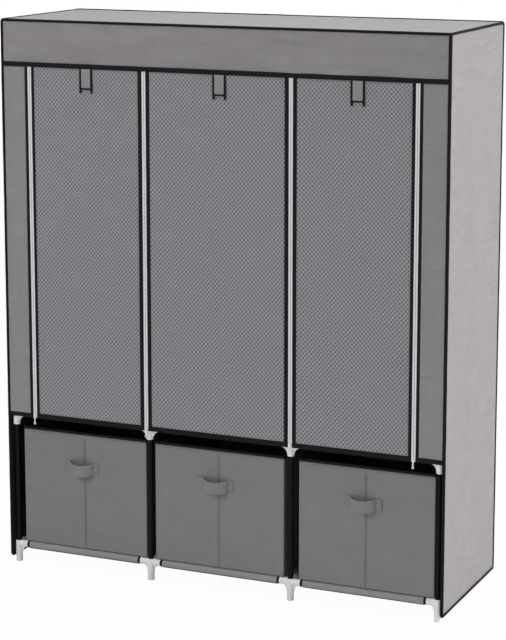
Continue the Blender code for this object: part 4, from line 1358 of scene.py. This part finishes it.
def handleBuild(x, front, low):
    # A strip of cloth stood along the path, which droops and curls where it stands out
    near = front - handle["clear"] - handle["cloth"] / 2
    bm = bmesh.new()
    chain = [bm.verts.new((*place, 0)) for place in handlePath(x, near)]
    edges = [bm.edges.new(pair) for pair in zip(chain, chain[1:])]
    moveSwept(bm, bmesh.ops.extrude_edge_only(bm, edges=edges), (0, 0, handle["height"]))
    sides = [edge for edge in bm.edges if abs(edge.verts[0].co.z - edge.verts[1].co.z) > 1e-6]
    bmesh.ops.subdivide_edges(bm, edges=sides, cuts=handle["rows"])
    mapFaces(bm.faces, bm.loops.layers.uv.new("UVMap"), lambda place: (place.x, place.z))
    for vert in bm.verts:
        out = max(0.0, near - vert.co.y) / handle["bulge"]
        curl = math.sin(math.pi * vert.co.z / handle["height"])
        vert.co.y -= curl * handle["curl"] * out - handle["curl"] * out
        vert.co.z += low - handle["droop"] * out + handle["lift"] * out * curl
    return bm


for bay, name in enumerate(bays):
    body = f"box_{name}"
    bodyLow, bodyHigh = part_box(f"{body}_body")
    bodyPiece = boxBody(f"{body}_cloth", bodyLow, bodyHigh, 90.0 + 7 * bay)
    attach(bodyPiece, "dark_cloth", f"{body}_body", body=body)
    rim = meshFrom(rimBuild(*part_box(f"{body}_rim"), 11.0 * bay))
    rimPiece = placePiece(f"{body}_rim_binding", rim, [blackBinding])
    attach(rimPiece, "black_binding", f"{body}_rim", body=body)
    middle = (bodyLow[0] + bodyHigh[0]) / 2
    low = bodyLow[2] + handle["level"] - handle["height"] / 2
    loop = meshFrom(handleBuild(middle + handle["offset"], bodyLow[1], low))
    loopPiece = thicken(placePiece(f"{body}_loop", loop, [boxCloth], 60), handle["cloth"], 0.0)
    attach(loopPiece, "dark_cloth", f"{body}_handle", body=body)
    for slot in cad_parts[f"{body}_board"].material_slots:
        slot.material = boardPaper
print("boxes ready")

# Zip sliders keep their CAD shape. Each pull is a flat eye on the slider's arch, a neck and a round end with
# a hole in it.
pull = {
    "thickness": 0.0012,
    "edge": 0.0002,
    "eye": (0.0031, 0.0016),
    "end": (0.0036, 0.0017),
    "drop": 0.0196,
    "neck": 0.0019,
    "neckShare": 0.9,
    "neckEnds": (0.0008, 0.0006),
    "forward": 0.003,
}


def pullMesh():
    half, edge = pull["thickness"] / 2, pull["edge"]
    solids = []
    for drop, (outer, inner) in ((0.0, pull["eye"]), (pull["drop"], pull["end"])):
        profile = [(inner, -half), (outer - edge, -half), (outer, edge - half), (outer, half - edge)]
        profile += [(outer - edge, half), (inner, half)]
        ring = latheMesh(profile, "Y", closed=True)
        ring.transform(Matrix.Translation((0, 0, -drop)))
        solids.append(ring)
    neck = bmesh.new()
    low = pull["end"][1] + pull["neckEnds"][0] - pull["drop"]
    high = -pull["eye"][1] - pull["neckEnds"][1]
    y = half * pull["neckShare"]
    addBar(neck, (-pull["neck"], -y, low), (pull["neck"], y, high), 2, edge, 1, 1.0)
    return unionOf(solids + [meshFrom(neck)], [])


pullShape = pullMesh()
for number, x in enumerate(zips, start=1):
    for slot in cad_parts[f"zip_slider_{number}"].material_slots:
        slot.material = zipMetal
    shape = placedCopy(pullShape, (x, clothFace - pull["forward"], levels["mid"]))
    pullPiece = placePiece(f"zip_pull_{number}_tab", shape, [zipMetal])
    attach(pullPiece, "zip_metal", f"zip_pull_{number}", body=f"pull_{number}")
print("zip sliders ready")
